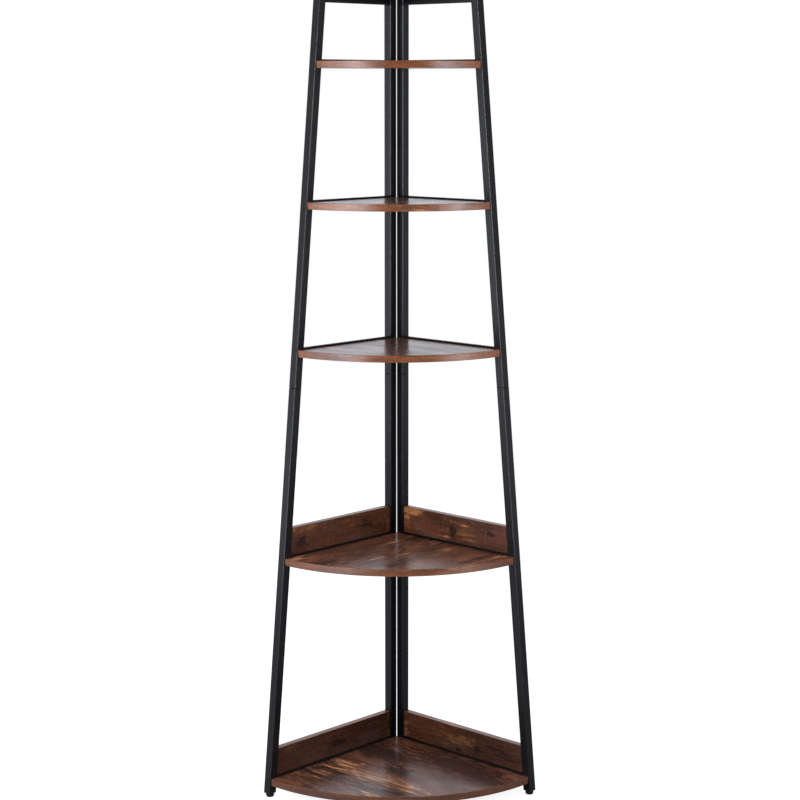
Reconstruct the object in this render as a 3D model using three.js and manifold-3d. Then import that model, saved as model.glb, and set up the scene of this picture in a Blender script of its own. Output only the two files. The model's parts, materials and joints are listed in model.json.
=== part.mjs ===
// Corner shelf unit, in millimetres, +Z up, with its open front towards -Y.
// Two ladder frames of square steel tube stand at a right angle in the corner
// and carry five quarter-round boards that get smaller towards the top.
// Each frame splits in two, a lower and an upper one, over hidden sleeves.

import * as THREE from 'three';
import { mergeVertices } from 'three/addons/utils/BufferGeometryUtils.js';
import Module from 'manifold-3d';

const wasm = await Module();
wasm.setup();

// Heights: the bottom board's top face above the floor, then from each board's top face
// to the next one, and from the top board to the top of the frames
const bottomShelfHeight = 44;
const bottomSpace = 505;
const secondSpace = 468.5;
const middleSpace = 327;
const fourthSpace = 308.5;
const topSpace = 147;

// The lower and upper frames meet this far below the middle board's top face
const seamDrop = 85.5;

// Reaches from the corner line to a leg's rear face, and the gaps in the frames
const legReachFloor = 400;
const legReachTop = 224;
const postGap = 1.5;
const weldGap = 0.3;
const seamGap = 0.3;

// Square tube of the posts and legs
const tubeSize = 20;
const tubeWall = 1.5;
const tubeCorner = 1.2;
const topCapWall = 2;
const nutPlateWall = 4;

// Flat tube of the rails, and the weld fillet under the top rail
const railHeight = 20;
const railDepth = 10;
const railWall = 1.2;
const railCorner = 1.5;
const topFillet = 4.5;

// Sleeves that join the lower and upper frames
const sleeveLength = 120;
const sleeveWall = 1.5;
const sleeveGap = 0.3;

// Boards
const shelfThickness = 16;
const shelfEdgeGap = 0.3;
const shelfTipSetback = 2;
const railAboveShelf = 3.8;

// Low boards that stand on the rails of the two bottom shelves, each with a steel pin in its
// outer end that plugs into the leg
const backboardLevels = 2;
const backboardHeight = 62;
const backboardThickness = 16;
const backboardEndGap = 0.3;
const pinDiameter = 5;
const pinReach = 8;
const pinRoot = 12;
const pinGap = 0.3;

// Button-head bolts that go through a rail into the edge of a board
const boltDiameter = 6;
const boltReach = 20;
const boltHeadDiameter = 11;
const boltHeadHeight = 3.2;
const boltHeadRound = 1.4;
const boltSocketDiameter = 4.6;
const boltSocketDepth = 2;
const boltInset = 48;
const boltGap = 0.3;

// Levelling feet, screwed up into the nut plates
const footHeight = 9;
const footDiameter = 19;
const footRimHeight = 4.5;
const footSoleDiameter = 12.5;
const footStudDiameter = 8;
const footStudLength = 20;
const footGap = 0.3;

// Every cutting tool runs this far past the face it opens
const cutOverrun = 2;

// Numbers of facets
const cornerDivisions = 1;
const boltFacets = 12;
const footFacets = 24;
const soleFacets = 4;
const shelfArcDivisions = 24;

const SQRT2 = Math.SQRT2;
const secondShelfHeight = bottomShelfHeight + bottomSpace;
const middleShelfHeight = secondShelfHeight + secondSpace;
const fourthShelfHeight = middleShelfHeight + middleSpace;
const topShelfHeight = fourthShelfHeight + fourthSpace;
const shelfHeights = [
  bottomShelfHeight,
  secondShelfHeight,
  middleShelfHeight,
  fourthShelfHeight,
  topShelfHeight,
];
const totalHeight = topShelfHeight + topSpace;
const splitHeight = middleShelfHeight - seamDrop;
const lean = (legReachFloor - legReachTop) / totalHeight;
const leanStretch = Math.sqrt(1 + lean * lean);
const legWidth = tubeSize * leanStretch;
const postNear = SQRT2 * (postGap / 2 - tubeCorner * (SQRT2 - 1));
const postFar = postNear + tubeSize;

const finishes = {
  powderCoat: { color: 0x1b1b1d, roughness: 0.5, metalness: 0.2 },
  board: { color: 0x7a4a2e, roughness: 0.45, metalness: 0 },
  zinc: { color: 0x9a9ca0, roughness: 0.35, metalness: 0.9 },
  blackPlastic: { color: 0x141414, roughness: 0.6, metalness: 0 },
};

// The left frame runs from the corner line towards -X and -Y, the right one towards +X and -Y.
// In a side's own axes x runs along the frame away from the corner, and y times inward
// points into the corner, so the frame's inner face lies at y = 0.
const sides = [
  { name: 'left', turn: Math.PI * 1.25, inward: 1 },
  { name: 'right', turn: -Math.PI * 0.25, inward: -1 },
];

function legReach(height) {
  return legReachFloor - lean * height;
}

function toSolid(geometry) {
  const bare = geometry.clone();
  bare.deleteAttribute('normal');
  bare.deleteAttribute('uv');
  const merged = mergeVertices(bare);
  const vertProperties = new Float32Array(merged.attributes.position.array);
  const triVerts = new Uint32Array(merged.index.array);
  return new wasm.Manifold(new wasm.Mesh({ numProp: 3, vertProperties, triVerts }));
}

function toGeometry(solid) {
  const mesh = solid.getMesh();
  const geometry = new THREE.BufferGeometry();
  geometry.setAttribute('position', new THREE.BufferAttribute(mesh.vertProperties, 3));
  geometry.setIndex(new THREE.BufferAttribute(mesh.triVerts, 1));
  const facets = geometry.toNonIndexed();
  facets.computeVertexNormals();
  return facets;
}

function cut(geometry, tools) {
  let solid = toSolid(geometry);
  for (const tool of tools) {
    solid = solid.subtract(toSolid(tool));
  }
  return toGeometry(solid);
}

function join(geometry, extra) {
  return toGeometry(toSolid(geometry).add(toSolid(extra)));
}

function roundedRectangle(width, height, radius) {
  const x = width / 2 - radius;
  const y = height / 2 - radius;
  const shape = new THREE.Shape();
  shape.absarc(x, y, radius, 0, Math.PI / 2);
  shape.absarc(-x, y, radius, Math.PI / 2, Math.PI);
  shape.absarc(-x, -y, radius, Math.PI, Math.PI * 1.5);
  shape.absarc(x, -y, radius, Math.PI * 1.5, Math.PI * 2);
  shape.closePath();
  return shape;
}

function prism(shape, length, curveSegments) {
  return new THREE.ExtrudeGeometry(shape, { depth: length, bevelEnabled: false, curveSegments });
}

function hollowSection(width, height, corner, wall) {
  const section = roundedRectangle(width, height, corner);
  const bore = roundedRectangle(width - 2 * wall, height - 2 * wall, Math.max(corner - wall, wall / 2));
  section.holes.push(bore);
  return section;
}

// Leans an upright piece by the slope of the legs; the section keeps its size square to the leg
function leanOver(geometry) {
  const shear = new THREE.Matrix4().set(leanStretch, 0, -lean, 0, 0, 1, 0, 0, 0, 0, 1, 0, 0, 0, 0, 1);
  return geometry.applyMatrix4(shear);
}

function upright(section, low, high) {
  return prism(section, high - low, cornerDivisions).translate(0, 0, low);
}

function frameTube(low, high, endWall) {
  const outer = upright(roundedRectangle(tubeSize, tubeSize, tubeCorner), low, high);
  const boreSize = tubeSize - 2 * tubeWall;
  const boreShape = roundedRectangle(boreSize, boreSize, Math.max(tubeCorner - tubeWall, tubeWall / 2));
  const boreLow = endWall === 'nutPlate' ? low + nutPlateWall : low - cutOverrun;
  const boreHigh = endWall === 'topCap' ? high - topCapWall : high + cutOverrun;
  return cut(outer, [upright(boreShape, boreLow, boreHigh)]);
}

// Where a leg's nut plate has its middle, along the frame from the leg's own axis at the floor
function footAxisOnLeg() {
  return -lean * (footHeight + nutPlateWall / 2);
}

function nutPlateHole(x) {
  const radius = footStudDiameter / 2 + footGap;
  const hole = new THREE.CylinderGeometry(radius, radius, nutPlateWall + 2 * cutOverrun, boltFacets);
  return hole.rotateX(Math.PI / 2).translate(x, 0, footHeight + nutPlateWall / 2);
}

function backboardBottom(level) {
  return shelfHeights[level] + railAboveShelf + weldGap;
}

// Depth of a backboard's middle plane behind the frame's inner face
function backboardMiddle() {
  return tubeSize - backboardThickness / 2;
}

function pinHeight(level) {
  return backboardBottom(level) + backboardHeight / 2;
}

// Round bar along x between two places on it
function roundBar(from, to, radius) {
  const bar = new THREE.CylinderGeometry(radius, radius, to - from, boltFacets);
  return bar.rotateZ(Math.PI / 2).translate((from + to) / 2, 0, 0);
}

// Hole through a leg's rear wall for the pin of a backboard, in the leg's own place
function pinHole(level) {
  const height = pinHeight(level);
  const face = legReach(height) - legReachFloor - legWidth / 2;
  const hole = roundBar(face - cutOverrun, face + tubeWall + cutOverrun, pinDiameter / 2 + pinGap);
  return hole.translate(0, 0, height);
}

function lowerPost() {
  const tube = frameTube(footHeight, splitHeight - seamGap / 2, 'nutPlate');
  return cut(tube, [nutPlateHole(0)]);
}

function lowerLeg(inward) {
  const tube = leanOver(frameTube(footHeight, splitHeight - seamGap / 2, 'nutPlate'));
  const holes = [nutPlateHole(footAxisOnLeg())];
  for (let level = 0; level < backboardLevels; level += 1) {
    holes.push(pinHole(level).translate(0, inward * (tubeSize / 2 - backboardMiddle()), 0));
  }
  return cut(tube, holes);
}

function sleeve() {
  const size = tubeSize - 2 * tubeWall - 2 * sleeveGap;
  const section = hollowSection(size, size, Math.max(tubeCorner - tubeWall, tubeWall / 2), sleeveWall);
  return upright(section, splitHeight - sleeveLength / 2, splitHeight + sleeveLength / 2);
}

// Rail along +x from the post's face, its far end cut to the slope of the leg
function railTube(height) {
  const length = legReach(height) - postFar - 2 * weldGap;
  const section = hollowSection(railHeight, railDepth, railCorner, railWall);
  const tube = prism(section, length, cornerDivisions).rotateY(Math.PI / 2);
  const position = tube.attributes.position;
  for (let i = 0; i < position.count; i += 1) {
    if (position.getX(i) > length / 2) {
      position.setX(i, position.getX(i) - lean * position.getZ(i));
    }
  }
  return tube;
}

function boltPlaces(height) {
  return [postFar + boltInset, legReach(height) - boltInset];
}

function boltHeight(level) {
  return shelfHeights[level] - shelfThickness / 2;
}

function railMiddle(level) {
  return shelfHeights[level] + railAboveShelf - railHeight / 2;
}

// Round tool along y
function crossHole(x, y, z, length) {
  const radius = boltDiameter / 2 + boltGap;
  return new THREE.CylinderGeometry(radius, radius, length, boltFacets).translate(x, y, z);
}

function shelfRail(level) {
  const start = postFar + weldGap;
  const drop = boltHeight(level) - railMiddle(level);
  const holes = boltPlaces(boltHeight(level)).map(
    (place) => crossHole(place - start, 0, drop, railDepth + 2 * cutOverrun),
  );
  return cut(railTube(railMiddle(level)), holes);
}

function topRail() {
  const root = railWall / 2;
  const fillet = new THREE.Shape();
  fillet.moveTo(0, root);
  fillet.lineTo(0, -topFillet);
  fillet.absarc(topFillet, -topFillet, topFillet, Math.PI, Math.PI / 2, true);
  fillet.lineTo(topFillet, root);
  fillet.closePath();
  const width = railDepth - 2 * railCorner;
  const web = prism(fillet, width, cornerDivisions + 1).rotateX(Math.PI / 2);
  web.translate(0, width / 2, -railHeight / 2);
  return join(railTube(totalHeight - railHeight / 2), web);
}

function shelfRadius(level) {
  return legReach(shelfHeights[level]) + legWidth - shelfTipSetback - shelfEdgeGap;
}

// Quarter-round board with its corner at the origin and bolt holes in its two straight edges
function shelfBoard(level) {
  const radius = shelfRadius(level);
  const arcStart = sides[0].turn;
  const outline = new THREE.Shape();
  outline.moveTo(0, 0);
  outline.lineTo(radius * Math.cos(arcStart), radius * Math.sin(arcStart));
  outline.absarc(0, 0, radius, arcStart, arcStart + Math.PI / 2);
  outline.closePath();
  const board = prism(outline, shelfThickness, shelfArcDivisions);
  const depth = boltReach + boltGap;
  const holes = sides.flatMap((side) => boltPlaces(boltHeight(level)).map((place) => {
    const y = side.inward * (depth - cutOverrun) / 2;
    const hole = crossHole(place - shelfEdgeGap, y, shelfThickness / 2, depth + cutOverrun);
    return hole.rotateZ(side.turn);
  }));
  return cut(board, holes);
}

// Backboard in the plane of the frame, with the pin in its outer end
function backboard(level) {
  const low = backboardBottom(level);
  const high = low + backboardHeight;
  const start = postFar + backboardEndGap;
  const outline = new THREE.Shape();
  outline.moveTo(start, low);
  outline.lineTo(legReach(low) - backboardEndGap, low);
  outline.lineTo(legReach(high) - backboardEndGap, high);
  outline.lineTo(start, high);
  outline.closePath();
  const board = prism(outline, backboardThickness, cornerDivisions).rotateX(Math.PI / 2);
  board.translate(0, backboardThickness / 2, 0);
  const face = legReach(pinHeight(level));
  const pin = roundBar(face - backboardEndGap - pinRoot, face + pinReach, pinDiameter / 2);
  return join(board, pin.translate(0, 0, pinHeight(level)));
}

// Bolt along +y with the underside of its head at y = 0
function bolt() {
  const headRadius = boltHeadDiameter / 2;
  const socketRadius = boltSocketDiameter / 2;
  const shank = boltDiameter / 2;
  const tip = boltGap + railDepth + shelfEdgeGap + boltReach;
  const profile = [
    new THREE.Vector2(0, boltSocketDepth - boltHeadHeight),
    new THREE.Vector2(socketRadius, boltSocketDepth - boltHeadHeight),
    new THREE.Vector2(socketRadius, -boltHeadHeight),
    new THREE.Vector2(headRadius - boltHeadRound, -boltHeadHeight),
    new THREE.Vector2(headRadius, boltHeadRound - boltHeadHeight),
    new THREE.Vector2(headRadius, 0),
    new THREE.Vector2(shank, 0),
    new THREE.Vector2(shank, tip),
    new THREE.Vector2(0, tip),
  ];
  return new THREE.LatheGeometry(profile, boltFacets);
}

// Foot with its sole at z = 0: a rounded base under a plain stud
function foot() {
  const rimRadius = footDiameter / 2;
  const soleRadius = footSoleDiameter / 2;
  const baseTop = footHeight - footGap;
  const curveHeight = baseTop - footRimHeight;
  const profile = [new THREE.Vector2(0, 0)];
  for (let i = 0; i <= soleFacets; i += 1) {
    const angle = (Math.PI / 2) * (i / soleFacets);
    const radius = soleRadius + (rimRadius - soleRadius) * Math.sin(angle);
    profile.push(new THREE.Vector2(radius, curveHeight * (1 - Math.cos(angle))));
  }
  profile.push(new THREE.Vector2(rimRadius, baseTop));
  profile.push(new THREE.Vector2(footStudDiameter / 2, baseTop));
  profile.push(new THREE.Vector2(footStudDiameter / 2, baseTop + footStudLength));
  profile.push(new THREE.Vector2(0, baseTop + footStudLength));
  return new THREE.LatheGeometry(profile, footFacets).rotateX(Math.PI / 2);
}

function piece(parent, name, geometry, finish, x, y, z) {
  const mesh = new THREE.Mesh(geometry, new THREE.MeshStandardMaterial(finish));
  mesh.name = name;
  mesh.position.set(x, y, z);
  parent.add(mesh);
  return mesh;
}

function addUprights(parent, side) {
  const middle = -side.inward * tubeSize / 2;
  const postAxis = postNear + tubeSize / 2;
  const legAxis = legReachFloor + legWidth / 2;
  const upperLow = splitHeight + seamGap / 2;
  const { powderCoat, zinc } = finishes;
  piece(parent, `${side.name}_post_lower`, lowerPost(), powderCoat, postAxis, middle, 0);
  piece(parent, `${side.name}_leg_lower`, lowerLeg(side.inward), powderCoat, legAxis, middle, 0);
  const post = frameTube(upperLow, totalHeight, 'topCap');
  piece(parent, `${side.name}_post_upper`, post, powderCoat, postAxis, middle, 0);
  const leg = leanOver(frameTube(upperLow, totalHeight, 'topCap'));
  piece(parent, `${side.name}_leg_upper`, leg, powderCoat, legAxis, middle, 0);
  piece(parent, `${side.name}_post_sleeve`, sleeve(), zinc, postAxis, middle, 0);
  piece(parent, `${side.name}_leg_sleeve`, leanOver(sleeve()), zinc, legAxis, middle, 0);
}

function addRails(parent, side) {
  const middle = -side.inward * railDepth / 2;
  const start = postFar + weldGap;
  shelfHeights.forEach((height, level) => {
    const name = `${side.name}_rail_${level + 1}`;
    piece(parent, name, shelfRail(level), finishes.powderCoat, start, middle, railMiddle(level));
  });
  const top = totalHeight - railHeight / 2;
  piece(parent, `${side.name}_rail_top`, topRail(), finishes.powderCoat, start, middle, top);
}

function addBackboards(parent, side) {
  for (let level = 0; level < backboardLevels; level += 1) {
    const name = `${side.name}_backboard_${level + 1}`;
    piece(parent, name, backboard(level), finishes.board, 0, -side.inward * backboardMiddle(), 0);
  }
}

function addBolts(parent, side) {
  const places = ['rear', 'front'];
  shelfHeights.forEach((height, level) => {
    boltPlaces(boltHeight(level)).forEach((place, i) => {
      const name = `${side.name}_bolt_${level + 1}_${places[i]}`;
      const seat = -side.inward * (railDepth + boltGap);
      const mesh = piece(parent, name, bolt(), finishes.zinc, place, seat, boltHeight(level));
      mesh.rotation.z = side.inward > 0 ? 0 : Math.PI;
    });
  });
}

function addFeet(parent, side) {
  const middle = -side.inward * tubeSize / 2;
  const postAxis = postNear + tubeSize / 2;
  const legAxis = legReachFloor + legWidth / 2 + footAxisOnLeg();
  piece(parent, `${side.name}_foot_rear`, foot(), finishes.blackPlastic, postAxis, middle, 0);
  piece(parent, `${side.name}_foot_front`, foot(), finishes.blackPlastic, legAxis, middle, 0);
}

function addShelves(parent) {
  shelfHeights.forEach((height, level) => {
    const corner = -shelfEdgeGap * SQRT2;
    const bottom = height - shelfThickness;
    piece(parent, `shelf_${level + 1}`, shelfBoard(level), finishes.board, 0, corner, bottom);
  });
}

const unit = new THREE.Group();
for (const side of sides) {
  const frame = new THREE.Group();
  frame.rotation.z = side.turn;
  addUprights(frame, side);
  addRails(frame, side);
  addBackboards(frame, side);
  addBolts(frame, side);
  addFeet(frame, side);
  unit.add(frame);
}
addShelves(unit);

// The origin is on the floor, under the middle of the whole unit
const bounds = new THREE.Box3().setFromObject(unit, true);
unit.position.y = -(bounds.min.y + bounds.max.y) / 2;

const group = new THREE.Group();
group.add(unit);

export default group;
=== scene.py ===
import json
import math

import bmesh
import bpy
from bpy.props import FloatProperty, FloatVectorProperty, IntProperty, PointerProperty
from mathutils import Matrix, Vector

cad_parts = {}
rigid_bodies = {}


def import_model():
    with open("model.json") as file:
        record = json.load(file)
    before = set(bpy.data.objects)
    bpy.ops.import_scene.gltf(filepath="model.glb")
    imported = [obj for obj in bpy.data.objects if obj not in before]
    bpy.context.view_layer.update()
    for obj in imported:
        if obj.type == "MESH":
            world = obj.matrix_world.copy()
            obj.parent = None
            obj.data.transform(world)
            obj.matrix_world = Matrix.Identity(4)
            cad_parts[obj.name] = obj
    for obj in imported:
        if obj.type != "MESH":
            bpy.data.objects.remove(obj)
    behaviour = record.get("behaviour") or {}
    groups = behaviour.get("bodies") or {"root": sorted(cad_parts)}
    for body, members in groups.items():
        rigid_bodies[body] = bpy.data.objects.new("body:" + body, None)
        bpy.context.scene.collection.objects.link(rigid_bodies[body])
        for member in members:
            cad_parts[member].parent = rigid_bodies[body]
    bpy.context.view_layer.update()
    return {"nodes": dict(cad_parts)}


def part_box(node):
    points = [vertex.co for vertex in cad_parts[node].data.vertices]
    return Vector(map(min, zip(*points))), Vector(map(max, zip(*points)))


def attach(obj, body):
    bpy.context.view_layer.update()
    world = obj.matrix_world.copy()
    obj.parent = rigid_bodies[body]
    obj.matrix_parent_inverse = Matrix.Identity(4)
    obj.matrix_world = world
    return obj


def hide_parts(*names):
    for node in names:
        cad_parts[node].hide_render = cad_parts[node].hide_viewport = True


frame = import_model()

bl_info = {
    "name": "Corner Shelf Unit",
    "version": (1, 0, 0),
    "blender": (4, 5, 0),
    "location": "3D View > Sidebar > Shelf Unit",
    "description": "Builds a tall corner shelf unit with two steel frames and five boards",
    "category": "Object",
}

# Lengths are in metres. A side's own axes are u along its frame away from the corner, n into
# the corner from the frame's inner face, and z up.
UNIT = "unit"
SIDES = {"left": -1.0, "right": 1.0}
LEVELS = (1, 2, 3, 4, 5)
PART_LEVELS = {"lower": (1, 2), "upper": (3, 4, 5)}
BACKBOARD_LEVELS = (1, 2)
BOARD_MAP = "board_map"
FACING = "facing"

# Gap that touching pieces keep, the cosine of half a right angle, the steps round an edge, and
# how far a face's normal leans towards an axis for the face to count as flat
CLEARANCE = 0.0003
DIAGONAL = math.sqrt(0.5)
EDGE_STEPS = 3
FLAT = 0.99

# Places of the CAD model
CORNER_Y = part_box("shelf_1")[1].y + CLEARANCE / DIAGONAL
SEAM_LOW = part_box("left_post_lower")[1].z
SEAM_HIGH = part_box("left_post_upper")[0].z
TUBE_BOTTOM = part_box("left_post_lower")[0].z
FRAME_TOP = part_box("left_post_upper")[1].z
SHELF_TOPS = {level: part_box(f"shelf_{level}")[1].z for level in LEVELS}


def length(name, description, default):
    return FloatProperty(
        name=name, description=description, default=default, unit="LENGTH", precision=4
    )


def paint(name, description, default):
    return FloatVectorProperty(
        name=name, description=description, default=default, subtype="COLOR", size=3, min=0, max=1
    )


def share(name, description, default):
    return FloatProperty(
        name=name, description=description, default=default, subtype="FACTOR", min=0, max=1
    )


def glow(name, description, default):
    return FloatProperty(name=name, description=description, default=default, min=0, max=20)


class FrameSizes(bpy.types.PropertyGroup):
    tube: length("Tube", "Outside width of the square tube", 0.02)
    tube_corner: length("Tube corner", "Radius of the tube's long corners", 0.0012)
    tube_wall: length("Tube wall", "Wall of the square tube", 0.0015)
    end_round: length("End rounding", "Radius of the edge at a tube's end", 0.0008)
    plate: length("Nut plate", "Thickness of the plate in the foot of each tube", 0.004)
    cap: length("Top cap", "Thickness of the cap on each tube", 0.002)
    stud_hole: length("Stud hole", "Diameter of the hole in the nut plate", 0.0086)
    post_start: length("Post start", "Distance from the corner line to a post", 0.0003577)
    reach_floor: length("Reach at the floor", "Corner line to the back of a leg", 0.4)
    reach_top: length("Reach at the top", "Corner line to the back of a leg", 0.224)
    rail_height: length("Rail height", "Height of the flat tube", 0.02)
    rail_depth: length("Rail depth", "Depth of the flat tube", 0.01)
    rail_corner: length("Rail corner", "Radius of the rail's long corners", 0.0015)
    rail_wall: length("Rail wall", "Wall of the flat tube", 0.0012)
    weld: length("Weld", "Radius of the weld bead at a rail's end", 0.0016)
    weld_pitch: length("Weld pitch", "Length of one ripple of the weld", 0.0021)
    top_fillet: length("Top fillet", "Radius under the top rail at the post", 0.0045)


class BoardSizes(bpy.types.PropertyGroup):
    thickness: length("Thickness", "Thickness of the boards", 0.016)
    edge_round: length("Edge rounding", "Radius of the boards' edges", 0.0008)
    end_gap: length("End gap", "Gap at the ends of a backboard", 0.0003)
    pin: length("Pin", "Diameter of the pin in a backboard's outer end", 0.005)
    pin_reach: length("Pin reach", "How far the pin stands into the leg", 0.008)
    pin_root: length("Pin root", "How deep the pin sits in the board", 0.012)


class FastenerSizes(bpy.types.PropertyGroup):
    bolt: length("Bolt", "Diameter of a shelf bolt", 0.006)
    bolt_reach: length("Bolt reach", "How deep a bolt goes into a board", 0.02)
    bolt_head: length("Bolt head", "Diameter of a bolt's head", 0.011)
    bolt_head_height: length("Head height", "Height of a bolt's head", 0.0032)
    bolt_socket: length("Socket", "Width across the corners of a bolt's socket", 0.0046)
    bolt_socket_depth: length("Socket depth", "Depth of a bolt's socket", 0.002)
    bolt_inset: length("Bolt inset", "Distance of a bolt from the rail's end", 0.048)
    bolt_gap: length("Bolt clearance", "Clearance round a bolt and under its head", 0.0003)
    screw: length("Screw", "Diameter of a backboard screw", 0.004)
    screw_reach: length("Screw reach", "How deep a screw goes into a backboard", 0.022)
    screw_head: length("Screw head", "Diameter of a screw's head", 0.0078)
    screw_spacing: length("Screw spacing", "Height between a backboard's screws", 0.034)


class FootSizes(bpy.types.PropertyGroup):
    rim: length("Foot", "Diameter of a foot", 0.019)
    sole: length("Sole", "Diameter of a foot's flat sole", 0.0125)
    rim_height: length("Rim height", "Height of the foot's upright rim", 0.0045)
    stud: length("Stud", "Diameter of the threaded stud", 0.008)
    stud_length: length("Stud length", "Length of the stud above the foot", 0.02)
    pitch: length("Thread pitch", "Pitch of the stud's thread", 0.00125)
    ribs: IntProperty(name="Ribs", description="Grip ribs round a foot", default=24)


class Finishes(bpy.types.PropertyGroup):
    powder: paint("Powder coat", "Colour of the frames", (0.0028, 0.0031, 0.0040))
    powder_gloss: share("Powder roughness", "Roughness of the powder coat", 0.22)
    # Near-black, matte ends of the tubes at the seam: painted shadow for the dark gap between the
    # lower and upper tube.
    cut_edge: paint("Cut edge", "Colour of the cut ends of the tubes", (0.002, 0.002, 0.002))
    dark_wood: paint("Dark wood", "Darkest tone of the boards", (0.021, 0.0090, 0.0068))
    brown_wood: paint("Brown wood", "Main tone of the boards", (0.107, 0.0375, 0.0200))
    golden_wood: paint("Golden wood", "Lightest tone of the boards", (0.40, 0.185, 0.085))
    honey_wood: paint("Honey wood", "Lightest tone of the backboards", (0.34, 0.140, 0.050))
    grey_wood: paint("Grey wood", "Weathered tone of the boards", (0.112, 0.064, 0.054))
    edge_wood: paint("Edge wood", "Main tone of the edge banding", (0.162, 0.046, 0.0110))
    wood_gloss: share("Wood roughness", "Roughness of the laminate", 0.25)
    edge_gloss: share("Banding roughness", "Roughness of the edge banding", 0.33)
    zinc: paint("Zinc", "Colour of the plated steel", (0.52, 0.53, 0.55))
    plastic: paint("Black plastic", "Colour of the feet", (0.009, 0.009, 0.0095))


class StageSettings(bpy.types.PropertyGroup):
    floor_size: length("Floor size", "Width of the floor", 8.0)
    backdrop: glow("Backdrop", "Brightness of the backdrop behind the unit", 1.15)
    left_wall: glow("Left side", "Brightness of the studio to the left", 0.74)
    right_wall: glow("Right side", "Brightness of the studio to the right", 0.39)
    front_wall: glow("Front side", "Brightness of the studio by the camera", 0.05)
    ceiling: glow("Ceiling", "Brightness of the studio overhead", 0.60)
    left_light: glow("Left light", "Brightness of the left softbox", 13.5)
    left_spill: glow("Left spill", "Brightness of the cloth beside the left softbox", 6.0)
    right_light: glow("Right light", "Brightness of the right softbox", 10.0)
    right_spill: glow("Right spill", "Brightness of the cloth beside the right softbox", 3.0)
    fill: share("Fill", "Share of the softboxes' light that comes from above", 0.8)
    light_distance: length("Light distance", "Distance of the softboxes", 2.4)
    light_low: length("Light foot", "Height of a softbox's lower edge", 0.97)
    light_high: length("Light head", "Height of a softbox's upper edge", 1.88)
    shine: glow("Shine", "How much brighter a softbox shows in posts and legs", 2.8)
    shine_low: length("Shine foot", "Height of the mirrored panel's lower edge", 1.3)
    shine_high: length("Shine head", "Height of the mirrored panel's upper edge", 1.95)
    lens: FloatProperty(
        name="Lens", description="Focal length of the camera", default=87.519, unit="CAMERA"
    )


class ShelfUnitSettings(bpy.types.PropertyGroup):
    frames: PointerProperty(type=FrameSizes)
    boards: PointerProperty(type=BoardSizes)
    fasteners: PointerProperty(type=FastenerSizes)
    feet: PointerProperty(type=FootSizes)
    finishes: PointerProperty(type=Finishes)
    stage: PointerProperty(type=StageSettings)


def settings():
    return bpy.context.scene.shelf_unit


# Places and outlines


def side_axes(side):
    """Matrix from a side's own axes u, n, z to the unit's."""
    across = SIDES[side] * DIAGONAL
    return Matrix(
        (
            (across, -across, 0, 0),
            (-DIAGONAL, -DIAGONAL, 0, CORNER_Y),
            (0, 0, 1, 0),
            (0, 0, 0, 1),
        )
    )


def lean():
    sizes = settings().frames
    return (sizes.reach_floor - sizes.reach_top) / FRAME_TOP


def lean_stretch():
    return math.sqrt(1 + lean() ** 2)


def leg_reach(height):
    """Distance from the corner line to the back face of a leg."""
    return settings().frames.reach_floor - lean() * height


def post_far():
    sizes = settings().frames
    return sizes.post_start + sizes.tube


def post_axis():
    sizes = settings().frames
    return sizes.post_start + sizes.tube / 2


def leg_axis():
    """Where a leg's axis meets the floor."""
    sizes = settings().frames
    return sizes.reach_floor + sizes.tube * lean_stretch() / 2


def front_foot_axis():
    """A front foot's axis, through the middle of the leg's nut plate."""
    return leg_axis() - lean() * (TUBE_BOTTOM + settings().frames.plate / 2)


def rounded_ring(width, depth, radius, steps=5):
    """Rounded rectangle about the origin, as points counterclockwise."""
    ring = []
    for corner in range(4):
        across = width / 2 - radius if corner in (0, 3) else radius - width / 2
        along = depth / 2 - radius if corner in (0, 1) else radius - depth / 2
        for step in range(steps + 1):
            angle = math.pi / 2 * (corner + step / steps)
            ring.append((across + radius * math.cos(angle), along + radius * math.sin(angle)))
    return ring


def circle_like(ring, radius):
    """Circle whose points lie in the directions of another ring's points."""
    angles = [math.atan2(y, x) for x, y in ring]
    return [(radius * math.cos(a), radius * math.sin(a)) for a in angles]


def quarter_round(steps):
    """Sine, and one less the cosine, of angles that turn evenly through a right angle."""
    angles = [math.pi / 2 * step / steps for step in range(steps + 1)]
    return [(math.sin(angle), 1 - math.cos(angle)) for angle in angles]


def rounded_span(low, high, radius):
    """Inset and place pairs from one rounded end of a solid to the other."""
    turn = [(radius * (1 - out), radius * rise) for out, rise in quarter_round(EDGE_STEPS)]
    span = [(inset, low + rise) for inset, rise in turn]
    return span + [(inset, high - drop) for inset, drop in reversed(turn)]


def middle_height(name):
    low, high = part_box(name)
    return (low.z + high.z) / 2


# Meshes


def loft(rings, closed=False):
    """Closed surface through rings of as many points each, its two ends filled or joined."""
    mesh = bmesh.new()
    rows = [[mesh.verts.new(point) for point in ring] for ring in rings]
    count = len(rows[0])
    pairs = list(zip(rows, rows[1:]))
    if closed:
        pairs.append((rows[-1], rows[0]))
    for lower, upper in pairs:
        for i in range(count):
            j = (i + 1) % count
            mesh.faces.new((lower[i], lower[j], upper[j], upper[i]))
    if not closed:
        mesh.faces.new(rows[0])
        mesh.faces.new(rows[-1])
    bmesh.ops.recalc_face_normals(mesh, faces=mesh.faces)
    return mesh


def add_mesh(target, extra):
    """Adds a mesh to another one and frees it."""
    holder = bpy.data.meshes.new("holder")
    extra.to_mesh(holder)
    extra.free()
    target.from_mesh(holder)
    bpy.data.meshes.remove(holder)
    return target


def placed(mesh, matrix):
    bmesh.ops.transform(mesh, matrix=matrix, verts=mesh.verts)
    if matrix.determinant() < 0:
        bmesh.ops.reverse_faces(mesh, faces=mesh.faces)
    return mesh


def link_object(name, mesh, *materials):
    data = bpy.data.meshes.new(name)
    mesh.to_mesh(data)
    mesh.free()
    for material in materials:
        data.materials.append(material)
    made = bpy.data.objects.new(name, data)
    bpy.context.scene.collection.objects.link(made)
    return made


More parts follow.
